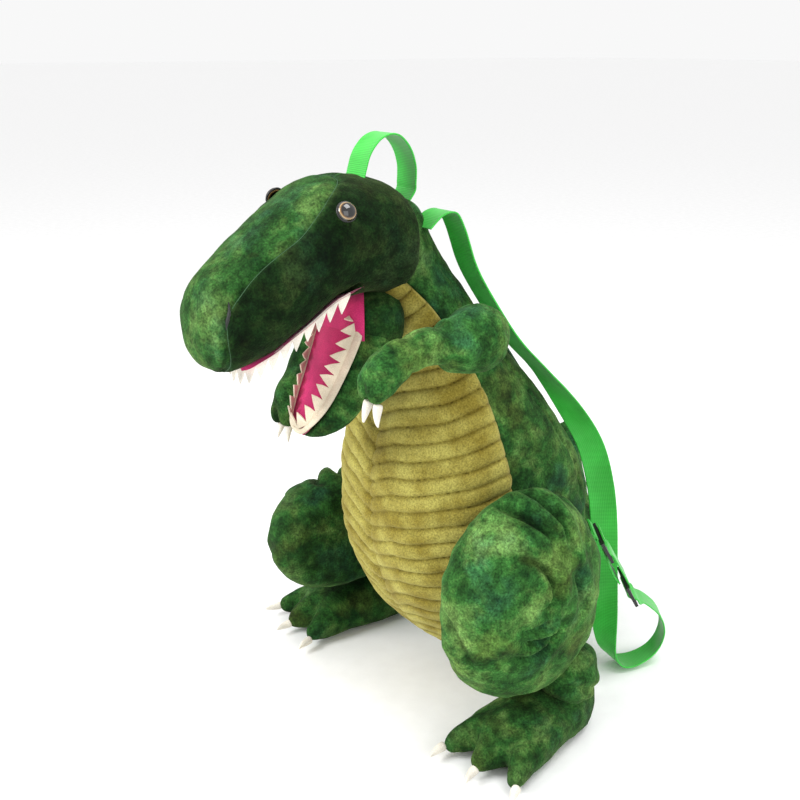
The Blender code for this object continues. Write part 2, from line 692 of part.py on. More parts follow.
def foot_cage(side, open_ankle):
    """Coarse cage of a foot: five rings, four columns, three toes pushed out of its front."""
    bm = bmesh.new()
    columns = (-1.0, -0.36, 0.36, 1.0)
    tops, soles = [], []
    for back, half, sole, top in FOOT_RINGS:
        edge_drop = (top - sole) * 0.25
        tops.append([bm.verts.new((c * half, back, top - edge_drop * (abs(c) > 0.5))) for c in columns])
        soles.append([bm.verts.new((c * half, back, sole)) for c in columns])
    ankle = None
    for near in range(len(FOOT_RINGS) - 1):
        for col in range(3):
            top = bm.faces.new((tops[near][col], tops[near + 1][col], tops[near + 1][col + 1],
                                tops[near][col + 1]))
            ankle = top if (near, col) == (1, 1) else ankle
            bm.faces.new((soles[near][col], soles[near][col + 1], soles[near + 1][col + 1],
                          soles[near + 1][col]))
        bm.faces.new((tops[near][0], soles[near][0], soles[near + 1][0], tops[near + 1][0]))
        bm.faces.new((tops[near][3], tops[near + 1][3], soles[near + 1][3], soles[near][3]))
    for col in range(3):
        bm.faces.new((tops[0][col], tops[0][col + 1], soles[0][col + 1], soles[0][col]))
        front = bm.faces.new((tops[-1][col], soles[-1][col], soles[-1][col + 1], tops[-1][col + 1]))
        toe = bmesh.ops.extrude_discrete_faces(bm, faces=[front])["faces"][0]
        spread = (col - 1) * TOE_SPREAD
        reach = TOE_LENGTH * (1.0 if col == 1 else OUTER_TOE)
        centre = toe.calc_center_median()
        for vert in toe.verts:
            vert.co.x = centre.x + (vert.co.x - centre.x) * TOE_TAPER + spread * reach
            vert.co.y -= reach
            vert.co.z = 0.0 if vert.co.z < centre.z else TOE_TIP_HEIGHT
    bmesh.ops.recalc_face_normals(bm, faces=bm.faces)
    if open_ankle:
        bmesh.ops.delete(bm, geom=[ankle], context="FACES")
    turn = Matrix.Rotation(FOOT_TURN * side, 4, "Z")
    bmesh.ops.transform(bm, matrix=turn, verts=bm.verts)
    return bm


def make_leg(side, word, shift, height, fur, felt, filling, root):
    place = Vector((HIP.x * side, HIP.y, HIP.z)) + shift
    hip = pivot("hip_joint_" + word, place, root)
    stations = [(x * side, y, z, width, depth * height) for x, y, z, width, depth in THIGH]
    thigh = Form(stations, (Vector((0, 1, 0)), Vector((0, 0, side))), 2.1)
    form_skin("thigh_" + word, thigh, fur, 20, 10, first=1, parent=hip)
    form_solid("thigh_filling_" + word, thigh, filling, 20, 10, hip)

    foot_place = Vector((FOOT_CENTRE.x * side, FOOT_CENTRE.y, 0.0)) - place
    foot_root = pivot("foot_place_" + word, foot_place, hip)
    foot = finish("foot_" + word, foot_cage(side, open_ankle=True), fur, foot_root)
    core = finish("foot_filling_" + word, foot_cage(side, open_ankle=False), filling, foot_root)
    for thing in (foot, core):
        rounding = thing.modifiers.new("rounding", "SUBSURF")
        rounding.levels = rounding.render_levels = 1
    solidify(foot, PILE, -1.0)
    draw_in(core, PILE * 1.6)

    turn = Matrix.Rotation(FOOT_TURN * side, 3, "Z")
    for number, (across, ahead) in enumerate(((-0.0375, -0.0680), (0.0, -0.0725), (0.0375, -0.0680)), 1):
        base = turn @ Vector((across * side, ahead, 0.0085))
        direction = turn @ Vector((across * side * 6, -1, -0.12))
        claw("toe_claw_%s_%d" % (word, number), base, direction, TOE_CLAW_LENGTH, felt, foot_root)


def press_tail(place):
    """The tail's root is a flat seam against the back."""
    place.y = max(TAIL_ROOT, place.y)
    return place


def make_tail(fur, filling, root):
    tail_pivot = pivot("tail_joint", TAIL_PIVOT, root)
    tail = Form(TAIL, press=press_tail)
    form_skin("tail", tail, fur, 16, 12, first=2, parent=tail_pivot)
    form_solid("tail_filling", tail, filling, 16, 12, tail_pivot)


def buckle(name, slots, look, parent):
    """A moulded slide or ring: bars across, with slots between them for the webbing."""
    across = WEBBING_WIDTH + 0.002
    height = slots * BUCKLE_SLOT + (slots + 1) * BUCKLE_BAR
    thing = box_part(name, (across + 2 * BUCKLE_BAR, height, BUCKLE_THICK), look, parent)
    for index in range(slots):
        middle = -height / 2 + BUCKLE_BAR + BUCKLE_SLOT / 2 + index * (BUCKLE_BAR + BUCKLE_SLOT)
        tool = box_cutter("%s_slot_%d" % (name, index), (across, BUCKLE_SLOT, 0.02), parent, (0, middle, 0))
        cut(thing, tool)
    return thing


def strap_basis(start, end, side):
    """Axes of a buckle on a strap: across, along the strap, and out of its face."""
    along = (end - start).normalized()
    across = Vector((RING_ACROSS.x, RING_ACROSS.y * side, 0))
    across = (across - along * across.dot(along)).normalized()
    return Matrix((across, along, across.cross(along))).transposed()


def make_strap(side, word, web, plastic, root):
    """A shoulder strap threaded through its slide and back from its ring."""
    flip = Vector((side, 1, 1))
    glide_at, ring_at = GLIDE_CENTRE * flip, RING_CENTRE * flip
    rotation = strap_basis(glide_at, ring_at, side)
    across, along, face = rotation.col
    glide = pivot("glide_place_" + word, glide_at, root, rotation)
    buckle("tri_glide_" + word, 2, plastic, glide)
    ring = pivot("ring_place_" + word, ring_at, root, rotation)
    buckle("strap_ring_" + word, 2, plastic, ring)

    pitch = BUCKLE_BAR + BUCKLE_SLOT
    lift = BUCKLE_THICK / 2 + WEBBING / 2 + LAP
    route = [Vector(point) * flip for point in STRAP_ROUTE]
    centres = spaced(route, STRAP_STEP)
    count = len(centres)
    sides = []
    for index in range(count):
        share = index / count
        width = STRAP_TURNS[0][1]
        for (before, first), (after, second) in zip(STRAP_TURNS, STRAP_TURNS[1:]):
            if share > before:
                width = first.lerp(second, min((share - before) / (after - before), 1.0))
        sides.append(Vector((width.x, width.y * side, 0)).normalized())
    centres += [glide_at + along * a * pitch + face * b * lift for a, b in (
        (-1.45, -1.25), (-1.0, -1.2), (-0.78, -1.0), (-0.58, -0.2), (-0.42, 0.4), (-0.24, 1.0), (0.0, 1.05),
        (0.24, 1.0), (0.42, 0.4), (0.58, -0.2), (0.78, -1.0), (1.0, -1.2), (1.5, -1.2))]
    centres += [ring_at + along * a * pitch + face * b * lift for a, b in (
        (-1.7, -1.2), (-1.0, -1.2), (-0.78, -1.0), (-0.58, -0.5), (-0.45, 0.0), (-0.55, 0.6), (-0.78, 1.05),
        (-1.0, 1.2), (-1.7, 1.6))]
    centres += [glide_at + along * a * pitch + face * b * lift for a, b in ((2.6, 1.9), (1.6, 1.6))]
    sides += [across] * (len(centres) - count)
    ribbon("shoulder_strap_" + word, centres, sides, WEBBING_WIDTH, WEBBING, web, root)

    tab = [ring_at + along * TAB_LENGTH * part + face * lift * part for part in (1.0, 0.7)]
    tab += [ring_at + along * a * pitch + face * b * lift for a, b in (
        (1.35, 1.15), (1.0, 1.15), (0.78, 1.0), (0.58, 0.5), (0.45, 0.0), (0.55, -0.6), (0.78, -1.0),
        (1.0, -1.15), (1.3, -1.15))]
    ribbon("ring_tab_" + word, tab, [across] * len(tab), WEBBING_WIDTH, WEBBING, web, root)


def make_loop(web, head_pivot):
    centres = [point - NECK_PIVOT for point in spaced([Vector(p) for p in LOOP_ROUTE], 0.006)]
    across = [Vector((1, 0, 0))] * len(centres)
    ribbon("carry_loop", centres, across, WEBBING_WIDTH, WEBBING, web, head_pivot)


def main():
    fur = material("green plush", "2f6b34", 0.95)
    cord = material("olive corduroy", "a79a45", 0.9)
    pink = material("pink felt", "c92c6b", 0.9)
    felt = material("cream felt", "f4efe4", 0.9)
    filling = material("polyester filling", "eeeeea", 1.0)
    eye_look = material("brown eye", "3a2412", 0.1)
    web = material("green webbing", "1fb02a", 0.6)
    plastic = material("black plastic", "1a1a1a", 0.4)
    tape = material("green zip tape", "1d5a2a", 0.8)
    metal = material("dark zip metal", "4a4a48", 0.4, 1.0)
    lining = material("green lining cloth", "24552c", 0.85)

    root = pivot("toy_frame", FRAME_SHIFT)
    body, back, stuffing = make_body(fur, cord, filling, root)
    make_neck(body, fur, root)
    make_zip(back, stuffing, tape, metal, lining, root)
    head_pivot = make_head(fur, pink, felt, eye_look, filling, root)
    make_jaw(fur, pink, felt, filling, head_pivot)
    make_loop(web, head_pivot)
    for side, word in ((1, "left"), (-1, "right")):
        stations, lowered, fingertips = ((LEFT_ARM, 0.0, LEFT_FINGERTIPS) if side > 0
                                         else (RIGHT_ARM, ARM_LOWERED, RIGHT_FINGERTIPS))
        make_arm(side, word, stations, lowered, fingertips, fur, felt, filling, root)
        shift, height = (Vector(), 1.0) if side > 0 else (RIGHT_HIP_SHIFT, RIGHT_THIGH_HEIGHT)
        make_leg(side, word, shift, height, fur, felt, filling, root)
        make_strap(side, word, web, plastic, root)
    make_tail(fur, filling, root)


clear_scene()
PARTS = new_collection("plush dinosaur backpack")
CUTTERS = new_collection("cutters")
main()
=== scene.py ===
# %% [markdown]
# # A plush dinosaur that is also a child's backpack
# The toy is a stuffed animal about 0.47 m tall with a zipped bag in its back. Its skin is mottled green
# plush, its belly is wide-rib corduroy, its mouth is felt, and it hangs on flat woven webbing.
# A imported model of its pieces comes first. It is the frame that every piece below is laid over.

# %% Load the frame
import json
import math
import bmesh
import bpy
import numpy as np
from mathutils import Matrix, Vector, noise
from mathutils.bvhtree import BVHTree

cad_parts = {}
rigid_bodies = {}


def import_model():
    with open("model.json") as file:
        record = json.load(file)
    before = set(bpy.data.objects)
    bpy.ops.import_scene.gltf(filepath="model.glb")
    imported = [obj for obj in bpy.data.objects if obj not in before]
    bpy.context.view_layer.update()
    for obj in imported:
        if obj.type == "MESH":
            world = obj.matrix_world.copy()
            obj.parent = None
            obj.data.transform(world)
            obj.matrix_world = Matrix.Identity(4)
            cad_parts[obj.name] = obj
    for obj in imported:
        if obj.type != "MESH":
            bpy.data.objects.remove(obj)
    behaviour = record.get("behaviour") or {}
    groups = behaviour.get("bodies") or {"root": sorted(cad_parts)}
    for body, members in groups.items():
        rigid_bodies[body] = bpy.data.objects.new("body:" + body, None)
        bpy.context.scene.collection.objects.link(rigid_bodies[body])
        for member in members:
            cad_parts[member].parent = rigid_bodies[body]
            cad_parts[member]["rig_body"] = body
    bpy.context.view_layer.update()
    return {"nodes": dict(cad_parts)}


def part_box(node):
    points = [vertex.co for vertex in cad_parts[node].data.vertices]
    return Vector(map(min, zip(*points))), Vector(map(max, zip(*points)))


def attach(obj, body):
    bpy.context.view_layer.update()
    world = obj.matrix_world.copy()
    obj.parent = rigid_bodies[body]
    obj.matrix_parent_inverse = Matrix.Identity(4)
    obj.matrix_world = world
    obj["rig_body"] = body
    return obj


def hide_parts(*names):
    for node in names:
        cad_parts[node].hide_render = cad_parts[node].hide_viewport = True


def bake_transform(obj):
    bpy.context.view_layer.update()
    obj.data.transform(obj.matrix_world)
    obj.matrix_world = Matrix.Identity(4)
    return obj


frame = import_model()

CAD = frame["nodes"]

# %% [markdown]
# ## Camera, floor and light
# The toy is seen from its front left, a little from above, with a normal lens. The floor is one pale
# sheet. Three wide area lamps give soft light: plush shows its pile best when the light grazes it, so
# the key lamp stands high on the toy's own front side, and the camera side is kept darker.

# %% Camera
bpy.ops.object.select_all(action="DESELECT")
EYE_POINT = Vector((0.6693, -0.5627, 0.5287))
LOOK_AT = Vector((0.10, -0.14875, 0.30))
bpy.ops.object.camera_add(location=EYE_POINT, rotation=(LOOK_AT - EYE_POINT).to_track_quat("-Z", "Y").to_euler())
camera = bpy.context.object
camera.data.lens = 49.5
camera.data.sensor_width = 36.0
camera.data.clip_start = 0.02
bpy.context.scene.camera = camera
print("camera lens", camera.data.lens, "mm")


# %% Floor
bpy.ops.mesh.primitive_plane_add(size=60.0, location=(0, 0, -0.0006))
floor = bpy.context.object
floor.name = "studio_floor"

# %% Lamps
def lamp(name, place, aim, size, power, tint=(1.0, 1.0, 1.0)):
    """A square soft box at a place, facing a point."""
    way = (Vector(aim) - Vector(place)).to_track_quat("-Z", "Y").to_euler()
    bpy.ops.object.light_add(type="AREA", location=place, rotation=way)
    made = bpy.context.object
    made.name = name
    made.data.shape = "SQUARE"
    made.data.size = size
    made.data.energy = power
    made.data.color = tint
    return made


lamp("key_softbox", (-0.35, -1.45, 1.15), (0, -0.05, 0.25), 0.7, 22)
lamp("fill_softbox", (1.7, -0.5, 0.9), (0, 0, 0.15), 1.2, 7)
lamp("top_softbox", (0.5, 0.2, 1.7), (0, 0, 0.2), 0.8, 12)
world = bpy.data.worlds.new("pale studio")
bpy.context.scene.world = world
world.use_nodes = True
world.node_tree.nodes["Background"].inputs["Color"].default_value = (1.0, 1.0, 1.0, 1.0)
world.node_tree.nodes["Background"].inputs["Strength"].default_value = 0.94
bpy.context.scene.view_settings.view_transform = "Standard"

# %% [markdown]
# ## Tools for finishes
# Every finish is a small network of nodes. Two helpers keep them short: one turns a hex colour into
# the linear numbers that Blender calculates with, and one adds a node with its settings and links.

# %% Finish helpers
def linear(code, alpha=1.0):
    """Linear colour of an sRGB hex code such as #2f6b34."""
    parts = [int(code[i:i + 2], 16) / 255 for i in (1, 3, 5)]
    return tuple(c / 12.92 if c <= 0.04045 else ((c + 0.055) / 1.055) ** 2.4 for c in parts) + (alpha,)


def add(tree, kind, settings=None, values=None, links=None, stops=None):
    """Add a node: its properties, its input values, links from (node, output), and a ramp's stops."""
    made = tree.nodes.new(kind)
    for name, value in (settings or {}).items():
        setattr(made, name, value)
    for name, value in (values or {}).items():
        made.inputs[name].default_value = value
    for name, (source, output) in (links or {}).items():
        tree.links.new(source.outputs[output], made.inputs[name])
    for index, (place, code) in enumerate(stops or ()):
        if index >= len(made.color_ramp.elements):
            made.color_ramp.elements.new(place)
        made.color_ramp.elements[index].position = place
        made.color_ramp.elements[index].color = linear(code)
    return made


def blank(name, roughness, **sockets):
    """A material with only a Principled shader; returns it with its tree and shader."""
    made = bpy.data.materials.new(name)
    made.use_nodes = True
    shader = made.node_tree.nodes["Principled BSDF"]
    shader.inputs["Roughness"].default_value = roughness
    for socket, value in sockets.items():
        shader.inputs[socket.replace("_", " ")].default_value = value
    return made, made.node_tree, shader


MM = 1000.0    # a noise with this scale has cells about 1 mm across
MIX = "ShaderNodeMix"
COLOUR = {"data_type": "RGBA"}
TIMES = {"data_type": "RGBA", "blend_type": "MULTIPLY"}

# %% [markdown]
# ## Plush
# The skin is short-pile polyester plush, printed by the dye bath in soft clouds of dark green, teal and
# olive, each 20 to 40 mm across. The pile is a millimetre or two long and leans in tufts, so the eye
# sees small light and dark flecks and a pale rim where the surface turns away. Large noises mix the
# dyes, a small one draws the tufts and raises them as a bump, and sheen gives the rim.

# %% Plush material
# One attribute carries both panel tone and painted light and shade: near sides lighter, far sides and creases darker.
TONE_AND_PAINTED_LIGHT = "tone_and_painted_light"    # lighter above 0 and darker below it, so plain panels may leave it out


def plush(name, deep, middle, light, teal, olive):
    """Mottled short-pile plush from five dye colours."""
    made, tree, shader = blank(name, 0.92, Specular_IOR_Level=0.10, Sheen_Weight=0.12, Sheen_Roughness=0.40,
                               Sheen_Tint=linear("#b4cf86"))
    # The colour is scaled by this attribute: panel tone, with painted light on near sides and painted shade on far
    # sides and in creases.
    tone_and_light = add(tree, "ShaderNodeAttribute", {"attribute_name": TONE_AND_PAINTED_LIGHT})
    level = add(tree, "ShaderNodeMapRange", None, {"From Min": -1.0, "To Min": 0.0, "To Max": 2.0}, {"Value": (tone_and_light, "Fac")})
    place = add(tree, "ShaderNodeTexCoord")
    apart = add(tree, "ShaderNodeMapping", None, {"Location": (0.31, 0.17, 0.53)}, {"Vector": (place, "Object")})
    clouds = add(tree, "ShaderNodeTexNoise", None, {"Scale": MM / 34, "Detail": 4.0, "Roughness": 0.62,
                 "Distortion": 0.5}, {"Vector": (place, "Object")})
    patches = add(tree, "ShaderNodeTexNoise", None, {"Scale": MM / 46, "Detail": 3.0, "Roughness": 0.6},
                  {"Vector": (apart, "Vector")})
    blotches = add(tree, "ShaderNodeTexNoise", None, {"Scale": MM / 9, "Detail": 3.0, "Roughness": 0.65},
                   {"Vector": (place, "Object")})
    tufts = add(tree, "ShaderNodeTexNoise", None, {"Scale": MM / 1.6, "Detail": 2.0, "Roughness": 0.7},
                {"Vector": (place, "Object")})
    base = add(tree, "ShaderNodeValToRGB", None, None, {"Fac": (clouds, "Fac")},
               [(0.34, deep), (0.50, middle), (0.68, light)])
    teal_patch = add(tree, "ShaderNodeValToRGB", None, None, {"Fac": (patches, "Fac")},
                     [(0.54, "#000000"), (0.68, "#8a8a8a")])
    olive_patch = add(tree, "ShaderNodeValToRGB", None, None, {"Fac": (patches, "Fac")},
                      [(0.34, "#8c8c8c"), (0.46, "#000000")])
    blotch_shade = add(tree, "ShaderNodeValToRGB", None, None, {"Fac": (blotches, "Fac")},
                       [(0.34, "#a0a0a0"), (0.66, "#ffffff")])
    tuft_shade = add(tree, "ShaderNodeValToRGB", None, None, {"Fac": (tufts, "Fac")},
                     [(0.32, "#a2a2a2"), (0.70, "#ffffff")])
    dyed = add(tree, MIX, COLOUR, {7: linear(teal)}, {0: (teal_patch, "Color"), 6: (base, "Color")})
    dyed = add(tree, MIX, COLOUR, {7: linear(olive)}, {0: (olive_patch, "Color"), 6: (dyed, 2)})
    dyed = add(tree, MIX, TIMES, {0: 1.0}, {6: (dyed, 2), 7: (blotch_shade, "Color")})
    dyed = add(tree, MIX, TIMES, {0: 1.0}, {6: (dyed, 2), 7: (tuft_shade, "Color")})
    toned_and_lit = add(tree, "ShaderNodeVectorMath", {"operation": "SCALE"}, None, {0: (dyed, 2), 3: (level, "Result")})
    height = add(tree, "ShaderNodeMath", {"operation": "ADD"}, None, {0: (tufts, "Fac"), 1: (blotches, "Fac")})
    bump = add(tree, "ShaderNodeBump", None, {"Strength": 0.55, "Distance": 0.0011}, {"Height": (height, 0)})
    tree.links.new(toned_and_lit.outputs[0], shader.inputs["Base Color"])
    tree.links.new(bump.outputs["Normal"], shader.inputs["Normal"])
    return made


GREEN_PLUSH = plush("mottled green plush", "#1d4a20", "#3f7a36", "#7aa556", "#4c8f74", "#8f9f4a")
print("finish made:", GREEN_PLUSH.name)

# %% [markdown]
# ## Corduroy, felt and lining
# The belly is a brushed velour with padded ribs about 10 mm wide. The ribs are real folds in the mesh;
# each point carries how high on its rib it lies, and the finish paints shade into the grooves and light
# onto the crests with it. Felt is pressed wool fibre with no pile: nearly flat in colour, with a fine random grain.

# %% Corduroy and felt materials
def brushed(name, groove, lit_crest, attribute):
    """Velour with painted shade where the attribute is low and painted light where it is high."""
    made, tree, shader = blank(name, 0.95, Specular_IOR_Level=0.12, Sheen_Weight=0.35, Sheen_Roughness=0.5,
                               Sheen_Tint=linear("#efe6a0"))
    place = add(tree, "ShaderNodeTexCoord")
    depth = add(tree, "ShaderNodeAttribute", {"attribute_name": attribute})
    nap = add(tree, "ShaderNodeTexNoise", None, {"Scale": MM / 1.4, "Detail": 3.0, "Roughness": 0.7},
              {"Vector": (place, "Object")})
    rubbed = add(tree, "ShaderNodeTexNoise", None, {"Scale": MM / 24, "Detail": 3.0}, {"Vector": (place, "Object")})
    # The ramp paints shade into the grooves and light onto the crests.
    base = add(tree, "ShaderNodeValToRGB", None, None, {"Fac": (depth, "Fac")},
               [(0.02, groove), (0.35, "#978c3e"), (0.95, lit_crest)])
    nap_shade = add(tree, "ShaderNodeValToRGB", None, None, {"Fac": (nap, "Fac")},
                    [(0.30, "#a8a8a8"), (0.70, "#ffffff")])
    rub_shade = add(tree, "ShaderNodeValToRGB", None, None, {"Fac": (rubbed, "Fac")},
                    [(0.35, "#c8bd98"), (0.65, "#ffffff")])
    colour = add(tree, MIX, TIMES, {0: 1.0}, {6: (base, "Color"), 7: (nap_shade, "Color")})
    colour = add(tree, MIX, TIMES, {0: 1.0}, {6: (colour, 2), 7: (rub_shade, "Color")})
    bump = add(tree, "ShaderNodeBump", None, {"Strength": 0.5, "Distance": 0.0006}, {"Height": (nap, "Fac")})
    tree.links.new(colour.outputs[2], shader.inputs["Base Color"])
    tree.links.new(bump.outputs["Normal"], shader.inputs["Normal"])
    return made


def grained(name, code, shade, grain, height, roughness, worn="#dcdcdc", **sockets):
    """A one-colour surface with a random grain of the given size in millimetres."""
    made, tree, shader = blank(name, roughness, **sockets)
    place = add(tree, "ShaderNodeTexCoord")
    fibres = add(tree, "ShaderNodeTexNoise", None, {"Scale": MM / grain, "Detail": 3.0, "Roughness": 0.7},
                 {"Vector": (place, "Object")})
    rubs = add(tree, "ShaderNodeTexNoise", None, {"Scale": MM / 18, "Detail": 2.0}, {"Vector": (place, "Object")})
    base = add(tree, "ShaderNodeValToRGB", None, None, {"Fac": (fibres, "Fac")}, [(0.30, shade), (0.65, code)])
    soft = add(tree, "ShaderNodeValToRGB", None, None, {"Fac": (rubs, "Fac")},
               [(0.35, worn), (0.65, "#ffffff")])
    colour = add(tree, MIX, TIMES, {0: 1.0}, {6: (base, "Color"), 7: (soft, "Color")})
    bump = add(tree, "ShaderNodeBump", None, {"Strength": 0.4, "Distance": height}, {"Height": (fibres, "Fac")})
    tree.links.new(colour.outputs[2], shader.inputs["Base Color"])
    tree.links.new(bump.outputs["Normal"], shader.inputs["Normal"])
    return made


RIB_LIGHT_AND_SHADE = "rib_light_and_shade"
# The dark colour is painted shade for the grooves and the light one is painted light on the crests.
CORDUROY = brushed("olive padded corduroy", "#463f16", "#b9b05a", RIB_LIGHT_AND_SHADE)
# Felt fibres are about 0.02 mm thick; their grain is drawn at 0.7 mm so that it shows.
PINK_FELT = grained("magenta wool felt", "#dc3a7c", "#b82460", 0.7, 0.0004, 0.95, Specular_IOR_Level=0.12,
                    Sheen_Weight=0.2)
WHITE_FELT = grained("white needle felt", "#fbf7ee", "#e6dcc8", 0.7, 0.0003, 0.95, Specular_IOR_Level=0.12)
CREAM_FELT = grained("cream needle felt", "#e9dfc9", "#d2c4a6", 0.7, 0.0003, 0.95, Specular_IOR_Level=0.12)
LINING = grained("green lining cloth", "#2c6434", "#1c4a24", 0.8, 0.0002, 0.85)
# Moulded acetal is slightly shiny, with a fine spark-eroded texture from its mould.
BLACK_PLASTIC = grained("black moulded acetal", "#1d1d1d", "#121212", 0.5, 0.00008, 0.38)
NOSTRIL_THREAD = grained("black embroidery thread", "#141a14", "#050805", 0.6, 0.0003, 0.55)
SEAM_THREAD = grained("green sewing thread", "#35613a", "#1c3e22", 0.5, 0.0002, 0.8)
ZIP_TAPE = grained("dark green zip tape", "#1f5a2c", "#123c1c", 0.6, 0.0002, 0.85)
# Lacquered zinc casting: bare at worn spots, hence the two greys.
ZIP_METAL = grained("lacquered zinc casting", "#5c5c58", "#2c2c2a", 1.2, 0.00006, 0.35, Metallic=1.0)
ZIP_NYLON = grained("green zip nylon", "#2c7a3c", "#1c5a2a", 0.6, 0.0001, 0.4)
print("finishes so far:", len(bpy.data.materials))

# %% [markdown]
# ## Woven webbing
# The straps are flat polypropylene webbing in a bright apple green. Its weft shows as fine lines across
# the strap, about 1 mm apart. Each strap carries its own map in metres, u across and v along, so the
# lines follow every bend. Each edge is a tighter, slightly darker selvedge.

# %% Webbing material
def webbing_finish(name, bright, shade):
    """Polypropylene webbing: weft lines across, warp columns along, read from the strap's own map."""
    made, tree, shader = blank(name, 0.48, Specular_IOR_Level=0.45, Sheen_Weight=0.15)
    strap = add(tree, "ShaderNodeUVMap", {"uv_map": "weave"})
    split = add(tree, "ShaderNodeSeparateXYZ", None, None, {0: (strap, 0)})
    weft = add(tree, "ShaderNodeMath", {"operation": "MULTIPLY"}, {1: 2 * math.pi * MM / 1.3}, {0: (split, "Y")})
    weft = add(tree, "ShaderNodeMath", {"operation": "SINE"}, None, {0: (weft, 0)})
    warp = add(tree, "ShaderNodeMath", {"operation": "MULTIPLY"}, {1: 2 * math.pi * MM / 1.6}, {0: (split, "X")})
    warp = add(tree, "ShaderNodeMath", {"operation": "SINE"}, None, {0: (warp, 0)})
    cross = add(tree, "ShaderNodeMath", {"operation": "MULTIPLY"}, {1: 0.45}, {0: (warp, 0)})
    cloth = add(tree, "ShaderNodeMath", {"operation": "ADD"}, None, {0: (weft, 0), 1: (cross, 0)})
    level = add(tree, "ShaderNodeMapRange", None, {"From Min": -1.45, "From Max": 1.45}, {"Value": (cloth, 0)})
    place = add(tree, "ShaderNodeTexCoord")
    faded = add(tree, "ShaderNodeTexNoise", None, {"Scale": MM / 30, "Detail": 2.0}, {"Vector": (place, "Object")})
    base = add(tree, "ShaderNodeValToRGB", None, None, {"Fac": (level, "Result")}, [(0.0, shade), (0.75, bright)])
    fade = add(tree, "ShaderNodeValToRGB", None, None, {"Fac": (faded, "Fac")},
               [(0.35, "#d4e4d0"), (0.65, "#ffffff")])
    colour = add(tree, MIX, TIMES, {0: 1.0}, {6: (base, "Color"), 7: (fade, "Color")})
    bump = add(tree, "ShaderNodeBump", None, {"Strength": 0.5, "Distance": 0.0003}, {"Height": (level, "Result")})
    tree.links.new(colour.outputs[2], shader.inputs["Base Color"])
    tree.links.new(bump.outputs["Normal"], shader.inputs["Normal"])
    return made


WEBBING = webbing_finish("apple green webbing", "#3fd046", "#17a023")
print("finish made:", WEBBING.name)

# %% [markdown]
# ## The pattern
# A soft toy is cut from flat panels, but its stuffed shape can be read as sections: ovals strung along
# a line. The trunk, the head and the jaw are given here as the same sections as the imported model's
# panels, in metres. `places` lays points on such a form and `where` finds them again, so that a seam,
# a rib or a felt edge can be set out by its angle round the form and its place along it.

# %% Sections and forms
MIDDLE = Vector((0.0, -0.14875, 0.0))    # from the toy's own centre line to the frame's origin

TRUNK_ROWS = np.array([
    (0, .160, .0280, .0060, .0060), (0, .160, .0330, .0400, .0350), (0, .157, .0560, .0740, .0660),
    (0, .147, .1000, .0900, .0870), (0, .142, .1500, .0960, .0960), (0, .137, .2000, .0930, .0910),
    (0, .1245, .2500, .0800, .0705), (0, .107, .3000, .0640, .0450), (0, .0880, .3400, .0500, .0370),
    (0, .0680, .3680, .0405, .0380), (0, .0560, .3900, .0370, .0370), (0, .0550, .4100, .0290, .0290),
    (0, .0550, .4210, .0140, .0140), (0, .0550, .4235, .0030, .0030)])
HEAD_ROWS = np.array([
    (0, .0600, .3900, .0510, .0390), (0, .0440, .3930, .0530, .0440), (0, .0200, .3970, .0525, .0440),
    (0, -.0060, .3920, .0510, .0460), (0, -.0330, .3765, .0480, .0475), (0, -.0580, .3610, .0440, .0455),
    (0, -.0790, .3505, .0390, .0405), (0, -.0950, .3450, .0310, .0320), (0, -.1025, .3420, .0180, .0180),
    (0, -.1040, .3415, .0040, .0040)])
JAW_ROWS = np.array([
    (0, .0350, .3390, .0150, .0050), (0, .0340, .3330, .0370, .0150), (0, .0300, .3160, .0410, .0190),
    (0, .0180, .2900, .0380, .0185), (0, .0030, .2670, .0330, .0150), (0, -.0120, .2530, .0220, .0090),
    (0, -.0180, .2480, .0060, .0030)])


class Form:
    """Ovals strung along a line; angles start at its front or underside, along runs from 0 to 1."""

    def __init__(self, rows, side, depth, square):
        self.rows, self.square = rows, square
        self.side, self.depth = np.array(side, float), np.array(depth, float)
        self.run = np.cross(self.side, self.depth)    # the way the sections follow each other
        self.steps = np.linspace(0, 1, 801)
        self.table = self.section(self.steps)[:, :3] @ self.run
        if self.table[-1] < self.table[0]:
            self.run, self.table = -self.run, -self.table

    def section(self, along):
        """Centre, half width and half depth at each place, on a smooth curve through the rows."""
        scaled = np.clip(along, 0, 1) * (len(self.rows) - 1)
        i = np.minimum(scaled.astype(int), len(self.rows) - 2)
        t = (scaled - i)[:, None]
        a, b, c, d = (self.rows[np.clip(i + k, 0, len(self.rows) - 1)] for k in (-1, 0, 1, 2))
        return 0.5 * (2 * b + (c - a) * t + (2 * a - 5 * b + 4 * c - d) * t ** 2 + (3 * b - a - 3 * c + d) * t ** 3)

    def places(self, around, along):
        """Points on the form."""
        around, along = np.broadcast_arrays(np.asarray(around, float), np.asarray(along, float))
        row = self.section(along.ravel())
        power = 2 / self.square
        s, c = np.sin(around.ravel()), np.cos(around.ravel())
        across = row[:, 3] * np.sign(s) * np.abs(s) ** power
        down = row[:, 4] * np.sign(c) * np.abs(c) ** power
        return row[:, :3] + across[:, None] * self.side - down[:, None] * self.depth + np.array(MIDDLE)

    def where(self, points):
        """The angle and place along the form of points near its surface."""
        local = points - np.array(MIDDLE)
        along = np.interp(local @ self.run, self.table, self.steps)
        row = self.section(along)
        out = local - row[:, :3]
        s, c = (out @ self.side) / row[:, 3], -(out @ self.depth) / row[:, 4]
        power = self.square / 2
        return np.arctan2(np.sign(s) * np.abs(s) ** power, np.sign(c) * np.abs(c) ** power), along


TRUNK = Form(TRUNK_ROWS, (1, 0, 0), (0, 1, 0), 2.5)
HEAD = Form(HEAD_ROWS, (1, 0, 0), (0, 0, 1), 2.3)
JAW = Form(JAW_ROWS, (1, 0, 0), (0, -0.853, 0.522), 2.3)
for title, form in (("trunk", TRUNK), ("head", HEAD), ("jaw", JAW)):
    print(title, "runs", round(float(form.table[-1] - form.table[0]), 3), "m")

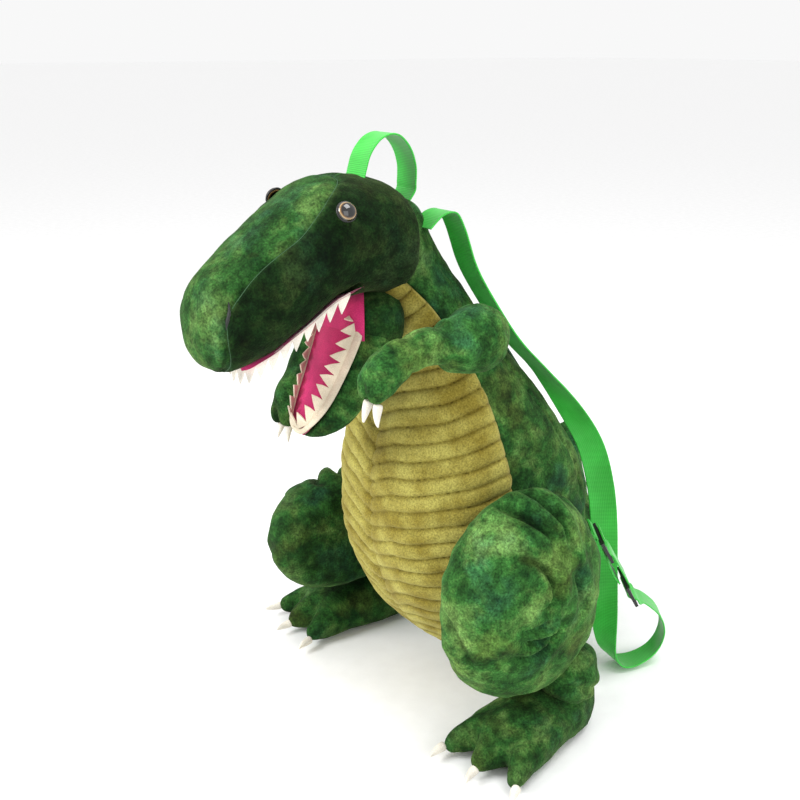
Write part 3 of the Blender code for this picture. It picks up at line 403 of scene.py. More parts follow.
# %% [markdown]
# ## Stuffing a casing
# A stuffed piece starts as a closed casing slightly smaller than the finished toy. Voxel remeshing gives
# it an even mesh, as woven cloth is even. The Cloth modifier then blows it up with inner pressure and a
# little spare cloth, so that it bulges and creases as filled plush does. No point may move further than
# a cap, which keeps the piece in its place. Last, it is subdivided once and its sewn lines are drawn in.

# %% Stuffing helpers
def only(thing):
    """Make one object the selected and active one."""
    bpy.ops.object.select_all(action="DESELECT")
    thing.select_set(True)
    bpy.context.view_layer.objects.active = thing
    return thing


def points_of(thing):
    co = np.empty(len(thing.data.vertices) * 3)
    thing.data.vertices.foreach_get("co", co)
    return co.reshape(-1, 3)


def move_points(thing, co):
    thing.data.vertices.foreach_set("co", np.ascontiguousarray(co).ravel())
    thing.data.update()


def normals_of(thing):
    no = np.empty(len(thing.data.vertices) * 3)
    thing.data.vertex_normals.foreach_get("vector", no)
    return no.reshape(-1, 3)


def round_casing(name, form, segments=56, rings=40):
    """A sphere wrapped on a form."""
    bpy.ops.object.select_all(action="DESELECT")
    bpy.ops.mesh.primitive_uv_sphere_add(segments=segments, ring_count=rings, radius=1.0)
    made = bpy.context.object
    made.name = name
    ball = points_of(made)
    around = np.arctan2(ball[:, 0], -ball[:, 1])
    along = np.arccos(np.clip(-ball[:, 2], -1, 1)) / math.pi
    move_points(made, form.places(around, along))
    return outward(made)


def cad_casing(name, nodes, grow):
    """A closed casing from CAD fillings, grown towards the skin that covers them."""
    parts = []
    for title in nodes:
        part = bpy.data.objects.new(name, CAD[title].data.copy())
        bpy.context.scene.collection.objects.link(part)
        part.data.materials.clear()
        parts.append(part)
    only(parts[0])
    for part in parts[1:]:
        part.select_set(True)
    if len(parts) > 1:
        bpy.ops.object.join()
    made = parts[0]
    bpy.ops.object.mode_set(mode="EDIT")
    bpy.ops.mesh.select_all(action="SELECT")
    bpy.ops.mesh.remove_doubles(threshold=0.00001)
    bpy.ops.object.mode_set(mode="OBJECT")
    swell = made.modifiers.new("grow", "DISPLACE")
    swell.strength, swell.mid_level = grow, 0.0
    bpy.ops.object.modifier_apply(modifier="grow")
    return made


def outward(thing):
    """Turn all faces outwards."""
    only(thing)
    bpy.ops.object.mode_set(mode="EDIT")
    bpy.ops.mesh.select_all(action="SELECT")
    bpy.ops.mesh.remove_doubles(threshold=0.00001)
    bpy.ops.mesh.normals_make_consistent(inside=False)
    bpy.ops.object.mode_set(mode="OBJECT")
    return thing


def stuff(piece, voxel, cap, pressure=4.0, spare=0.0, frames=18, hold=None):
    """Remesh a casing, blow it up no further than the cap, and subdivide it. hold(points) gives how far,
    from 0 to 1, each point may follow the cloth."""
    only(piece)
    weave = piece.modifiers.new("weave", "REMESH")
    weave.mode, weave.voxel_size = "VOXEL", voxel
    bpy.ops.object.modifier_apply(modifier="weave")
    start = points_of(piece)
    cloth = piece.modifiers.new("stuffing", "CLOTH")
    cloth.settings.quality = 4
    cloth.settings.mass = 0.2
    cloth.settings.use_pressure = True
    cloth.settings.uniform_pressure_force = pressure
    cloth.settings.shrink_min = -spare
    cloth.settings.tension_stiffness = cloth.settings.compression_stiffness = 12
    cloth.settings.bending_stiffness = 0.3
    cloth.settings.effector_weights.gravity = 0
    for frame_number in range(1, frames + 1):
        bpy.context.scene.frame_set(frame_number)
    bpy.ops.object.modifier_apply(modifier="stuffing")
    bpy.context.scene.frame_set(1)
    moved = points_of(piece) - start
    length = np.linalg.norm(moved, axis=1, keepdims=True)
    kept = np.tanh(length / cap) * cap
    moved = np.where(length > 1e-9, moved / np.maximum(length, 1e-9) * kept, 0)
    move_points(piece, start + moved)
    if hold is not None:
        move_points(piece, start + (points_of(piece) - start) * hold(start)[:, None])
    rounding = piece.modifiers.new("rounding", "SUBSURF")
    rounding.levels = rounding.render_levels = 1
    bpy.ops.object.modifier_apply(modifier="rounding")
    bpy.ops.object.shade_smooth()
    print("stuffed", piece.name, len(piece.data.vertices), "points")
    return piece


def crumple(co, size, seed):
    """Smooth noise from -1 to 1 at each point; size is in metres."""
    shift = Vector((seed * 7.3, seed * 3.1, seed * 5.7))
    return np.array([noise.noise(Vector(p) / size + shift) for p in co])


def set_tone_and_painted_light(piece, values):
    """How light each point's plush is painted, for panel tone and for painted light and shade: 0 as dyed, 0.3 lighter
    by 30 %, -0.3 darker by 30 %.
    """
    layer = piece.data.attributes.new(TONE_AND_PAINTED_LIGHT, "FLOAT", "POINT")
    layer.data.foreach_set("value", np.asarray(values, np.float32))


def groove(distance, width):
    """A sewn line's profile: 1 on the line and 0 a few widths away."""
    return np.exp(-(distance / width) ** 2)


def push(piece, amount):
    """Move each point along its normal by an amount in metres."""
    move_points(piece, points_of(piece) + normals_of(piece) * np.asarray(amount)[:, None])


def fit_out(piece, finish, body, stands_for=()):
    """Give a finished piece its material and its body, and hide the CAD nodes that it stands for."""
    piece.data.materials.clear()
    piece.data.materials.append(finish)
    if body:
        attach(piece, body)
    if stands_for:
        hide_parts(*stands_for)
    return piece


# %% Fold lines
def line_distance(flat, line):
    """Distance of 2-D points from a broken line, with the side of the line as its sign."""
    best, sign = np.full(len(flat), 9.0), np.ones(len(flat))
    for (ax, ay), (bx, by) in zip(line, line[1:]):
        run = np.array([bx - ax, by - ay])
        part = np.clip(((flat - (ax, ay)) @ run) / (run @ run), 0, 1)
        gap = flat - (np.array([ax, ay]) + part[:, None] * run)
        far = np.linalg.norm(gap, axis=1)
        nearer = far < best
        best = np.where(nearer, far, best)
        sign = np.where(nearer, np.sign(run[0] * gap[:, 1] - run[1] * gap[:, 0]), sign)
    return best, sign


def rounded(line, steps=8):
    """A smooth line through a few points."""
    p = np.array(line, float)
    p = np.vstack([2 * p[0] - p[1], p, 2 * p[-1] - p[-2]])
    out = []
    for a, b, c, d in zip(p, p[1:], p[2:], p[3:]):
        for t in np.linspace(0, 1, steps, endpoint=False):
            out.append(0.5 * (2 * b + (c - a) * t + (2 * a - 5 * b + 4 * c - d) * t ** 2
                              + (3 * b - a - 3 * c + d) * t ** 3))
    return out + [p[-2]]


def fold_depth(flat, lines, depth, width):
    """A narrow valley along each line with a soft roll of cloth on its outer side."""
    total = np.zeros(len(flat))
    for line in lines:
        line = rounded(line)
        gap, side = line_distance(flat, line)
        ends = np.minimum(np.linalg.norm(flat - line[0], axis=1), np.linalg.norm(flat - line[-1], axis=1))
        fade = np.clip(ends / 0.012, 0.15, 1)
        roll = groove(gap - width * 1.9, width * 1.5) * np.where(side > 0, 1.0, 0.45)
        total += fade * depth * (0.55 * roll - groove(gap, width * 0.62))
    return total


# %% Lines laid on a casing
def loft(name, rings, maps=None):
    """A tube through rings of points, closed at both ends; maps gives each point its place in the weave."""
    bpy.ops.object.select_all(action="DESELECT")
    bpy.ops.mesh.primitive_cylinder_add(vertices=len(rings[0]), radius=1, depth=1, end_fill_type="NOTHING")
    made = bpy.context.object
    made.name = name
    mesh = bmesh.new()
    rows = [[mesh.verts.new(point) for point in ring] for ring in rings]
    weave = mesh.loops.layers.uv.new("weave")
    for index in range(len(rows) - 1):
        for k in range(len(rows[0])):
            n = (k + 1) % len(rows[0])
            corners = ((index, k), (index, n), (index + 1, n), (index + 1, k))
            face = mesh.faces.new([rows[a][b] for a, b in corners])
            if maps is not None:
                for loop, (a, b) in zip(face.loops, corners):
                    loop[weave].uv = maps[a][b]
    mesh.faces.new(rows[0])
    mesh.faces.new(rows[-1])
    bmesh.ops.recalc_face_normals(mesh, faces=mesh.faces)
    mesh.to_mesh(made.data)
    mesh.free()
    only(made)
    bpy.ops.object.shade_smooth_by_angle(angle=math.radians(50))
    return made


def laid_on(piece, points):
    """The nearest places on a piece, with the way out of it at each."""
    tree = BVHTree.FromObject(piece, bpy.context.evaluated_depsgraph_get())
    found = [tree.find_nearest(Vector(p)) for p in points]
    return np.array([f[0] for f in found]), np.array([f[1] for f in found])


def sewn_line(name, piece, points, radius, finish, body, lift=0.2, taper=0.0, flat=0.7):
    """A raised line of thread along points on a piece; taper thins it towards both ends."""
    places, ways = laid_on(piece, points)
    for _ in range(12):
        places[1:-1] = (places[:-2] + 2 * places[1:-1] + places[2:]) / 4
    ahead = np.gradient(places, axis=0)
    side = np.cross(ahead, ways)
    side /= np.linalg.norm(side, axis=1, keepdims=True)
    thick = radius * (1 - taper * np.abs(np.linspace(-1, 1, len(places))) ** 2.5)
    angles = np.linspace(0, math.tau, 7)[:-1]
    rings = [[places[i] + ways[i] * radius * lift + side[i] * thick[i] * math.cos(a)
              + ways[i] * thick[i] * flat * math.sin(a) for a in angles] for i in range(len(places))]
    return fit_out(loft(name, rings), finish, body)


# %% [markdown]
# ## Trunk
# The trunk is one stuffed casing from the seat to the ball of the neck. Its two side panels and its back
# panel meet on sewn lines, and the cloth puckers beside each line. The corduroy of the belly is a piece
# of its own, so the casing is drawn in a little where the belly lies over it.

# %% Trunk casing
BELLY_SEAM, SIDE_SEAM = math.radians(80), math.radians(126)
THROAT = 0.70


def belly_edge(along):
    """The angle of the belly's edge, which narrows to the throat."""
    fade = np.clip((along - 0.50) / 0.26, 0, 1)
    return BELLY_SEAM * (1 - 0.36 * fade)


ZIP_DOWN = Vector((0.0, 0.6, -0.8))
ZIP_OUT = Vector((0.0, 0.8, 0.6))
ZIP_CENTRE = sum(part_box("zip_placket"), Vector()) / 2
HIP_FACE = 0.0900    # the thighs press the trunk's sides flat here


def press_trunk(co):
    co[:, 0] = np.clip(co[:, 0], -HIP_FACE, HIP_FACE)
    return co


trunk = round_casing("trunk_casing", TRUNK, 72, 64)
move_points(trunk, press_trunk(points_of(trunk)) - normals_of(trunk) * 0.003)
stuff(trunk, 0.0048, 0.0045, pressure=3.0, spare=0.02)
co = points_of(trunk)
around, along = TRUNK.where(co)
radius = 0.085    # metres of cloth to one radian round the trunk
side_line = np.abs(np.abs(around) - SIDE_SEAM) * radius
belly_line = (belly_edge(along) - np.abs(around)) * radius
on_panels = (along > 0.04) & (along < THROAT + 0.02)
depth = np.where(on_panels, -0.0022 * groove(side_line, 0.0030), 0)
pucker = crumple(np.column_stack([co[:, 2] * 3.2, around * 0.03, co[:, 0] * 0.3]), 0.020, 1)
depth += np.where(on_panels, 0.0016 * pucker * groove(side_line, 0.016), 0)
depth += 0.0013 * crumple(co, 0.030, 2) + 0.0006 * crumple(co, 0.012, 3)
under_belly = np.clip(belly_line / 0.004, 0, 1) * (along < THROAT) * (along > 0.03)
depth -= 0.0045 * under_belly
push(trunk, depth)
set_tone_and_painted_light(trunk, np.full(len(co), -0.12))
print("trunk seams drawn at", round(math.degrees(SIDE_SEAM)), "degrees from the belly")

# %% [markdown]
# ## The opening for the bag
# The zip sits in a slit in the back. The plush round it is pressed flat under the zip's tape, and the
# casing is cut away inside the tape's frame, so that the lips fold into a real bag.

# %% Cut the slit
SLIT = np.array([0.0250, 0.0625])    # half width and half length of the hole under the tape


def zip_place(co):
    """Across, along and out of the zip's plane, measured from its middle."""
    local = co - np.array(ZIP_CENTRE)
    return local[:, 0], local @ np.array(ZIP_DOWN), local @ np.array(ZIP_OUT)


co = points_of(trunk)
across, down, out = zip_place(co)
near = np.maximum(np.abs(across) - SLIT[0] - 0.008, np.abs(down) - SLIT[1] - 0.008)
flat = np.clip(1 - near / 0.010, 0, 1) * (out > -0.03)
wanted = np.minimum(out, -0.0013)
co += np.outer((wanted - out) * flat, np.array(ZIP_OUT))
move_points(trunk, co)
only(trunk)
bpy.ops.object.mode_set(mode="EDIT")
mesh = bmesh.from_edit_mesh(trunk.data)
middles = np.array([face.calc_center_median() for face in mesh.faces])
across, down, out = zip_place(middles)
inside = (np.abs(across) < SLIT[0]) & (np.abs(down) < SLIT[1]) & (out > -0.03)
for face, cut in zip(mesh.faces, inside):
    face.select_set(bool(cut))
bmesh.update_edit_mesh(trunk.data)
bpy.ops.mesh.delete(type="FACE")
bpy.ops.object.mode_set(mode="OBJECT")
print("faces cut from the slit:", int(inside.sum()))
fit_out(trunk, GREEN_PLUSH, "body",
        ("side_left", "side_right", "back_panel", "neck_skin", "body_filling"))

# %% [markdown]
# ## Belly
# Each half of the belly is a panel of padded corduroy. A grid is laid on the trunk's form between the
# middle seam and the side seam, finer along the ribs' repeat than across. Each rib is raised as a soft
# half round with a narrow valley, dips to the middle seam in a chevron, and wanders a little, because
# the filling under it is lumpy. The panel's edge curls under where it is sewn.

# %% Corduroy panels
RIB_PITCH = 0.0134


def fabric_grid(name, form, around, along, cells):
    """A grid laid on a form between two angles, each a function of the place along it."""
    bpy.ops.object.select_all(action="DESELECT")
    bpy.ops.mesh.primitive_grid_add(x_subdivisions=cells[0], y_subdivisions=cells[1], size=1.0)
    made = bpy.context.object
    made.name = name
    flat = points_of(made)
    u, v = flat[:, 0] + 0.5, flat[:, 1] + 0.5
    place = along[0] + (along[1] - along[0]) * v
    start, end = around[0](place), around[1](place)
    move_points(made, form.places(start + (end - start) * u, place))
    return made, u, v


def cut_size(piece, cells):
    """Greatest width, length along the middle, and area of a grid's cloth before it is worked."""
    grid = points_of(piece).reshape(cells[1] + 1, cells[0] + 1, 3)
    width = np.linalg.norm(np.diff(grid, axis=1), axis=2).sum(axis=1).max()
    length = np.linalg.norm(np.diff(grid[:, cells[0] // 2], axis=0), axis=1).sum()
    return float(width), float(length), float(sum(face.area for face in piece.data.polygons))


def belly_half(name, way):
    """One half of the belly, with its cut size; way is 1 for the toy's left."""
    first, last = 0.035, THROAT
    edges = (lambda s: s * 0 - 0.004 * way, lambda s: way * (belly_edge(s) + 0.02))
    made, u, v = fabric_grid(name, TRUNK, edges if way > 0 else edges[::-1], (first, last), (44, 300))
    from_seam = u if way > 0 else 1 - u
    cut = cut_size(made, (44, 300))
    co = press_trunk(points_of(made))
    middle_line = TRUNK.places(np.zeros(400), np.linspace(first, last, 400))
    arc = np.concatenate([[0], np.cumsum(np.linalg.norm(np.diff(middle_line, axis=0), axis=1))])
    travel = np.interp(v * 399, np.arange(400), arc)
    wander = 0.0030 * crumple(co * np.array([1, 1, 0.6]), 0.036, 11 + way)
    chevron = -0.006 * np.clip(from_seam / 0.14, 0, 1) ** 0.8 - 0.026 * from_seam
    turn = (travel + wander + chevron) / RIB_PITCH
    part = 2 * np.abs(turn - np.floor(turn) - 0.5)
    rib = (1 - part ** 3.2) ** 0.60
    edge = np.minimum(np.minimum(from_seam + 0.022, 1 - from_seam) * 0.10, 0.05 * np.minimum(v, 1 - v) * 6)
    seam = np.clip(edge / 0.0045, 0, 1)
    height = 0.0036 * rib * (0.45 + 0.55 * seam) + 0.0030 * np.sqrt(seam) - 0.0038
    height += 0.0018 * crumple(co, 0.034, 5) + 0.0010 * crumple(co, 0.014, 6)
    if way < 0:
        only(made)
    # This value paints the ribs' light and shade: painted shade in the grooves and along the edge where the panel
    # curls under.
    level = made.data.attributes.new(RIB_LIGHT_AND_SHADE, "FLOAT", "POINT")
    level.data.foreach_set("value", np.clip(rib * (0.55 + 0.45 * seam), 0, 1).astype(np.float32))
    move_points(made, co)
    facing = np.sign(np.mean(np.sum(normals_of(made) * (co - TRUNK.places(0, 0.4)[0] - (0, 0.09, 0)), axis=1)))
    if facing < 0:
        only(made)
        bpy.ops.object.mode_set(mode="EDIT")
        bpy.ops.mesh.select_all(action="SELECT")
        bpy.ops.mesh.flip_normals()
        bpy.ops.object.mode_set(mode="OBJECT")
    push(made, height)
    only(made)
    bpy.ops.object.shade_smooth()
    return made, cut


for way, side in ((1, "left"), (-1, "right")):
    half, cut = belly_half("belly_corduroy_" + side, way)
    fit_out(half, CORDUROY, "body", ("belly_" + side,))
    print(half.name, "ribs", int(0.30 / RIB_PITCH))

# %% [markdown]
# ## Head
# The head has a top panel that comes to a point on the crown and two side panels that wrap under the
# snout. It is stuffed firmly, so it hardly creases; its seams show as a fine pale ridge of parted pile
# with the dark line of the join beside it.

# %% Head casing
LIP_SEAM, CHEEK_SEAM, BROW_SEAM = math.radians(47), math.radians(64), math.radians(128)
CHEEK_END, MOUTH_SIDE, MOUTH_FRONT, MOUTH_ROUND = 0.16, 0.30, 0.63, 2.6
MOUTH_CORNER = 0.26    # the cheeks' pad fills the mouth behind this place


# The seam round the snout's top on one side: degrees from the underside, and place along the head.
TOP_SEAM = [(22, 0.722), (48, 0.729), (79, 0.757), (105, 0.757), (122.6, 0.680), (130, 0.603), (131, 0.525),
            (130.4, 0.461), (141, 0.377), (155.5, 0.311), (168, 0.268), (179, 0.250)]
HEAD_GIRTH, HEAD_RUN = 0.044, 0.165    # metres of cloth to one radian round the head, and to its length


def lip(along):
    """The angle of the mouth's edge."""
    fade = np.clip((along - CHEEK_END) / (MOUTH_SIDE - CHEEK_END), 0, 1)
    ahead = np.clip((along - MOUTH_SIDE) / (MOUTH_FRONT - MOUTH_SIDE), 0, 1)
    side = CHEEK_SEAM + (LIP_SEAM - CHEEK_SEAM) * fade
    return np.where(along < MOUTH_SIDE, side, LIP_SEAM * (1 - ahead ** MOUTH_ROUND) ** (1 / MOUTH_ROUND))


head = round_casing("head_casing", HEAD, 72, 56)
move_points(head, points_of(head) - normals_of(head) * 0.0025)
stuff(head, 0.0042, 0.0034, pressure=4.0, spare=0.01)
co = points_of(head)
around, along = HEAD.where(co)
cloth = np.column_stack([np.abs(around) * HEAD_GIRTH, along * HEAD_RUN])
seam = rounded([(math.radians(angle) * HEAD_GIRTH, place * HEAD_RUN) for angle, place in TOP_SEAM])
brow_line = line_distance(cloth, seam)[0]
upper = np.array(TOP_SEAM[3:])[::-1]
on_top = (along > 0.757) | (np.degrees(np.abs(around)) > np.interp(along, upper[:, 1], upper[:, 0]))
mouth = np.clip((lip(along) - np.abs(around)) * HEAD_GIRTH / 0.004, 0, 1) * (along > MOUTH_CORNER) * (along < MOUTH_FRONT)
depth = -0.0016 * groove(brow_line, 0.0022) + 0.0009 * groove(brow_line - 0.0045, 0.003)
depth += 0.0010 * crumple(co, 0.030, 21) + 0.0005 * crumple(co, 0.012, 22)
depth += 0.0009 * crumple(np.column_stack([brow_line * 0.4, co[:, 1], co[:, 2]]), 0.014, 23) * groove(brow_line, 0.010)
depth -= 0.0040 * mouth
push(head, depth)
set_tone_and_painted_light(head, np.where(on_top, -0.12, -0.80 + 0.35 * groove(brow_line, 0.003)))
fit_out(head, GREEN_PLUSH, "head",
        ("head_side_left", "head_side_right", "head_top", "head_filling"))
line = np.array(rounded(TOP_SEAM, 12))
for side, way in (("left", 1), ("right", -1)):
    on_form = HEAD.places(way * np.radians(line[:, 0]), line[:, 1])
    sewn_line("snout_seam_" + side, head, on_form, 0.00034, SEAM_THREAD, "head")

# %% [markdown]
# ## Mouth
# The roof of the mouth and the tongue side of the jaw are magenta felt. Each is a grid laid on its form
# inside the lip. A third sheet joins them at the back like the corner of a real mouth.

# %% Roof of the mouth
roof, u, v = fabric_grid("mouth_roof", HEAD, (lambda s: -lip(s) - 0.02, lambda s: lip(s) + 0.02),
                         (MOUTH_CORNER, MOUTH_FRONT - 0.004), (40, 48))
edge = np.clip(np.minimum(u, 1 - u) / 0.10, 0, 1)
cut = cut_size(roof, (40, 48))
co = points_of(roof)
co[:, 2] += 0.0035 * edge + 0.0010 * crumple(co, 0.018, 31) - 0.0004
move_points(roof, co)
only(roof)
bpy.ops.object.shade_smooth()
fit_out(roof, PINK_FELT, "head", ("palate",))

# %% Jaw casing
# The jaw is sewn a little twisted: its lining's edge lies further in on the left than on the right.
JAW_SEAM_LEFT, JAW_SEAM_RIGHT = math.radians(140), math.radians(120)
INSIDE = np.array([0, -0.853, 0.522])    # out of the jaw's lining, into the mouth

jaw = round_casing("jaw_casing", JAW, 48, 40)
move_points(jaw, points_of(jaw) - normals_of(jaw) * 0.002)
stuff(jaw, 0.0035, 0.0028, pressure=3.0, spare=0.01)
co = points_of(jaw)
around, along = JAW.where(co)
jaw_seam = np.where(around > 0, JAW_SEAM_LEFT, JAW_SEAM_RIGHT)
lined = np.clip((np.abs(around) - jaw_seam) * 0.030 / 0.004, 0, 1) * (along < 0.96)
push(jaw, 0.0008 * crumple(co, 0.024, 41) - 0.0030 * lined)
fit_out(jaw, GREEN_PLUSH, "jaw", ("jaw_skin", "jaw_filling"))

# %% Cheeks and the corner of the mouth
CHEEK_MIDDLE = np.array([0, 0.0385, 0.3320]) + np.array(MIDDLE)
CHEEK_HALF = np.array([0.0405, 0.0225, 0.0270])


def cheek_places(ball, grow):
    """Points of a unit ball as points of the cheek's pad, a rounded block grown by a few metres."""
    boxy = np.sign(ball) * np.abs(ball) ** 0.72
    return CHEEK_MIDDLE + boxy * (CHEEK_HALF + grow)


bpy.ops.object.select_all(action="DESELECT")
bpy.ops.mesh.primitive_uv_sphere_add(segments=40, ring_count=24, radius=1.0)
cheek = bpy.context.object
cheek.name = "cheek_pad"
move_points(cheek, cheek_places(points_of(cheek), -0.0015))
stuff(outward(cheek), 0.0038, 0.0018, pressure=2.0, spare=0.01)
push(cheek, 0.0008 * crumple(points_of(cheek), 0.018, 45))
set_tone_and_painted_light(cheek, np.full(len(cheek.data.vertices), -0.55))
fit_out(cheek, GREEN_PLUSH, None)
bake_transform(cheek)

bpy.ops.object.select_all(action="DESELECT")
bpy.ops.mesh.primitive_grid_add(x_subdivisions=36, y_subdivisions=24, size=2.0)
corner = bpy.context.object
corner.name = "mouth_corner_felt"
flat = points_of(corner)
turn, rise = flat[:, 0] * math.radians(62) - math.radians(22), flat[:, 1] * math.radians(50) + math.radians(12)
ball = np.column_stack([np.sin(turn) * np.cos(rise), -np.cos(turn) * np.cos(rise), np.sin(rise)])
fold = 0.0012 * crumple(ball * 0.03, 0.016, 46)
move_points(corner, cheek_places(ball, 0.0008) + ball * (0.0006 + fold)[:, None])
cut = cut_size(corner, (36, 24))
only(corner)
bpy.ops.object.shade_smooth()
fit_out(corner, PINK_FELT, None)
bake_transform(corner)

# %% Tongue lining and the felt band along the jaw's edge
tongue, u, v = fabric_grid("tongue_lining_felt", JAW, (lambda s: s * 0 + JAW_SEAM_LEFT + 0.12,
                           lambda s: s * 0 + math.tau - JAW_SEAM_RIGHT - 0.20), (0.06, 0.93), (36, 40))
edge = np.clip(np.minimum(u, 1 - u) / 0.14, 0, 1)
cut = cut_size(tongue, (36, 40))
co = points_of(tongue) + np.outer(0.0008 - 0.0020 * edge, INSIDE)
co += np.outer(0.0008 * crumple(co, 0.018, 42), INSIDE)
move_points(tongue, co)
only(tongue)
bpy.ops.object.shade_smooth()
fit_out(tongue, PINK_FELT, "jaw", ("tongue_lining",))


def rim_line(form, angle, places, count):
    """An even line of points from (angle, place) pairs on a form."""
    fine = form.places(angle, places)
    length = np.concatenate([[0], np.cumsum(np.linalg.norm(np.diff(fine, axis=0), axis=1))])
    even = np.linspace(0, length[-1], count + 1)
    return np.column_stack([np.interp(even, length, fine[:, axis]) for axis in range(3)])


def tooth_row(name, roots, lean, height, band, thickness, finish):
    """A felt strip with one pointed tooth between every two roots; lean is each root's way to the tip."""
    rows = []
    for index in range(len(roots) - 1):
        a, b = Vector(roots[index]), Vector(roots[index + 1])
        way = (Vector(lean[index]) + Vector(lean[index + 1])).normalized()
        for part in (0.0, 0.25, 0.5, 0.75):
            rise = band + (height - band) * (1 - abs(2 * part - 1)) ** 0.85
            foot = a.lerp(b, part)
            rows.append((foot, foot + way * rise))
    rows.append((Vector(roots[-1]), Vector(roots[-1]) + Vector(lean[-1]) * band))
    bpy.ops.object.select_all(action="DESELECT")
    bpy.ops.mesh.primitive_grid_add(x_subdivisions=3, y_subdivisions=len(rows) - 1, size=1.0)
    made = bpy.context.object
    made.name = name
    flat = points_of(made)
    order = np.rint((flat[:, 1] + 0.5) * (len(rows) - 1)).astype(int)
    lift = flat[:, 0] + 0.5
    feet = np.array([rows[i][0] for i in order])
    tips = np.array([rows[i][1] for i in order])
    move_points(made, feet + (tips - feet) * lift[:, None])
    only(made)
    felt = made.modifiers.new("felt", "SOLIDIFY")
    felt.thickness, felt.offset = thickness, 0.0
    bpy.ops.object.modifier_apply(modifier="felt")
    soften = made.modifiers.new("soft edges", "BEVEL")
    soften.width, soften.segments = 0.00035, 1
    bpy.ops.object.modifier_apply(modifier="soft edges")
    made.data.materials.clear()
    made.data.materials.append(finish)
    return made


def jaw_edge(turn, inset):
    """The angle of the jaw's lined edge, from its right corner (-1) round the tip to its left one (1)."""
    seam = np.where(turn > 0, JAW_SEAM_LEFT, JAW_SEAM_RIGHT)
    return math.pi - turn * (math.pi - seam - inset)


turn = np.linspace(-1, 1, 121)
band_place = 0.10 + 0.80 * np.sqrt(1 - turn ** 4)
band_outer = rim_line(JAW, jaw_edge(turn, -0.05), band_place + 0.035, 96)
band_inner = rim_line(JAW, jaw_edge(turn, 0.20), band_place - 0.035, 96)
bpy.ops.object.select_all(action="DESELECT")
bpy.ops.mesh.primitive_grid_add(x_subdivisions=6, y_subdivisions=96, size=1.0)
band = bpy.context.object
band.name = "jaw_felt_band"
flat = points_of(band)
order, lift = np.rint((flat[:, 1] + 0.5) * 96).astype(int), flat[:, 0] + 0.5
crown = np.sin(lift * math.pi) * 0.0012 + 0.0004
co = band_outer[order] + (band_inner[order] - band_outer[order]) * lift[:, None] + np.outer(crown, INSIDE)
move_points(band, co)
only(band)
bpy.ops.object.shade_smooth()
felt = band.modifiers.new("felt", "SOLIDIFY")
felt.thickness, felt.offset = 0.0012, 0.0
bpy.ops.object.modifier_apply(modifier="felt")
fit_out(band, CREAM_FELT, "jaw")
print("felt band points", len(band.data.vertices))

# %% [markdown]
# ## Teeth
# The teeth are zig-zag strips of stiff white felt. The lower strip is sewn to the felt band and leans
# into the mouth; the upper one hangs from the lip. One function cuts both: it walks along the roots and
# raises a point between every two of them.

# %% Teeth
LOWER_TEETH, UPPER_TEETH = 21, 20
turn = np.linspace(-1, 1, 241)
roots = rim_line(JAW, jaw_edge(turn, 0.14), 0.10 + 0.765 * np.sqrt(1 - turn ** 4), LOWER_TEETH) + INSIDE * 0.0012
to_middle = np.array([0, 0.015, 0.285]) + np.array(MIDDLE) - roots
to_middle -= np.outer(to_middle @ INSIDE, INSIDE)
to_middle /= np.linalg.norm(to_middle, axis=1, keepdims=True)
lean = to_middle * 0.62 + INSIDE * 0.78
lower = tooth_row("teeth_lower_felt", roots, lean, 0.0125, 0.0022, 0.0011, CREAM_FELT)
fit_out(lower, CREAM_FELT, "jaw", ("teeth_lower",))

sweep = np.radians(np.linspace(-90, 90, 241))
angle = LIP_SEAM * 0.97 * np.sign(np.sin(sweep)) * np.abs(np.sin(sweep)) ** (2 / MOUTH_ROUND)
ahead = (MOUTH_FRONT - 0.02 - MOUTH_SIDE) * np.abs(np.cos(sweep)) ** (2 / MOUTH_ROUND)
roots = rim_line(HEAD, angle, MOUTH_SIDE + ahead, UPPER_TEETH) + np.array([0, 0, 0.0012])
lean = np.tile([0.0, -0.10, -0.995], (len(roots), 1))
lean[:, 0] = -roots[:, 0] * 4.0
upper = tooth_row("teeth_upper_felt", roots, lean, 0.0135, 0.0022, 0.0013, WHITE_FELT)
fit_out(upper, WHITE_FELT, "head", ("teeth_upper",))
print("teeth:", LOWER_TEETH, "below and", UPPER_TEETH, "above")

# %% [markdown]
# ## Eyes and nostrils
# Each eye is a moulded safety eye: a clear dome over a painted disc, held by a washer inside. The disc
# shows a black pupil and a thin ring of brown and gold in a dark rim. The nostrils are bars of
# black embroidery thread on the seam at the end of the snout.

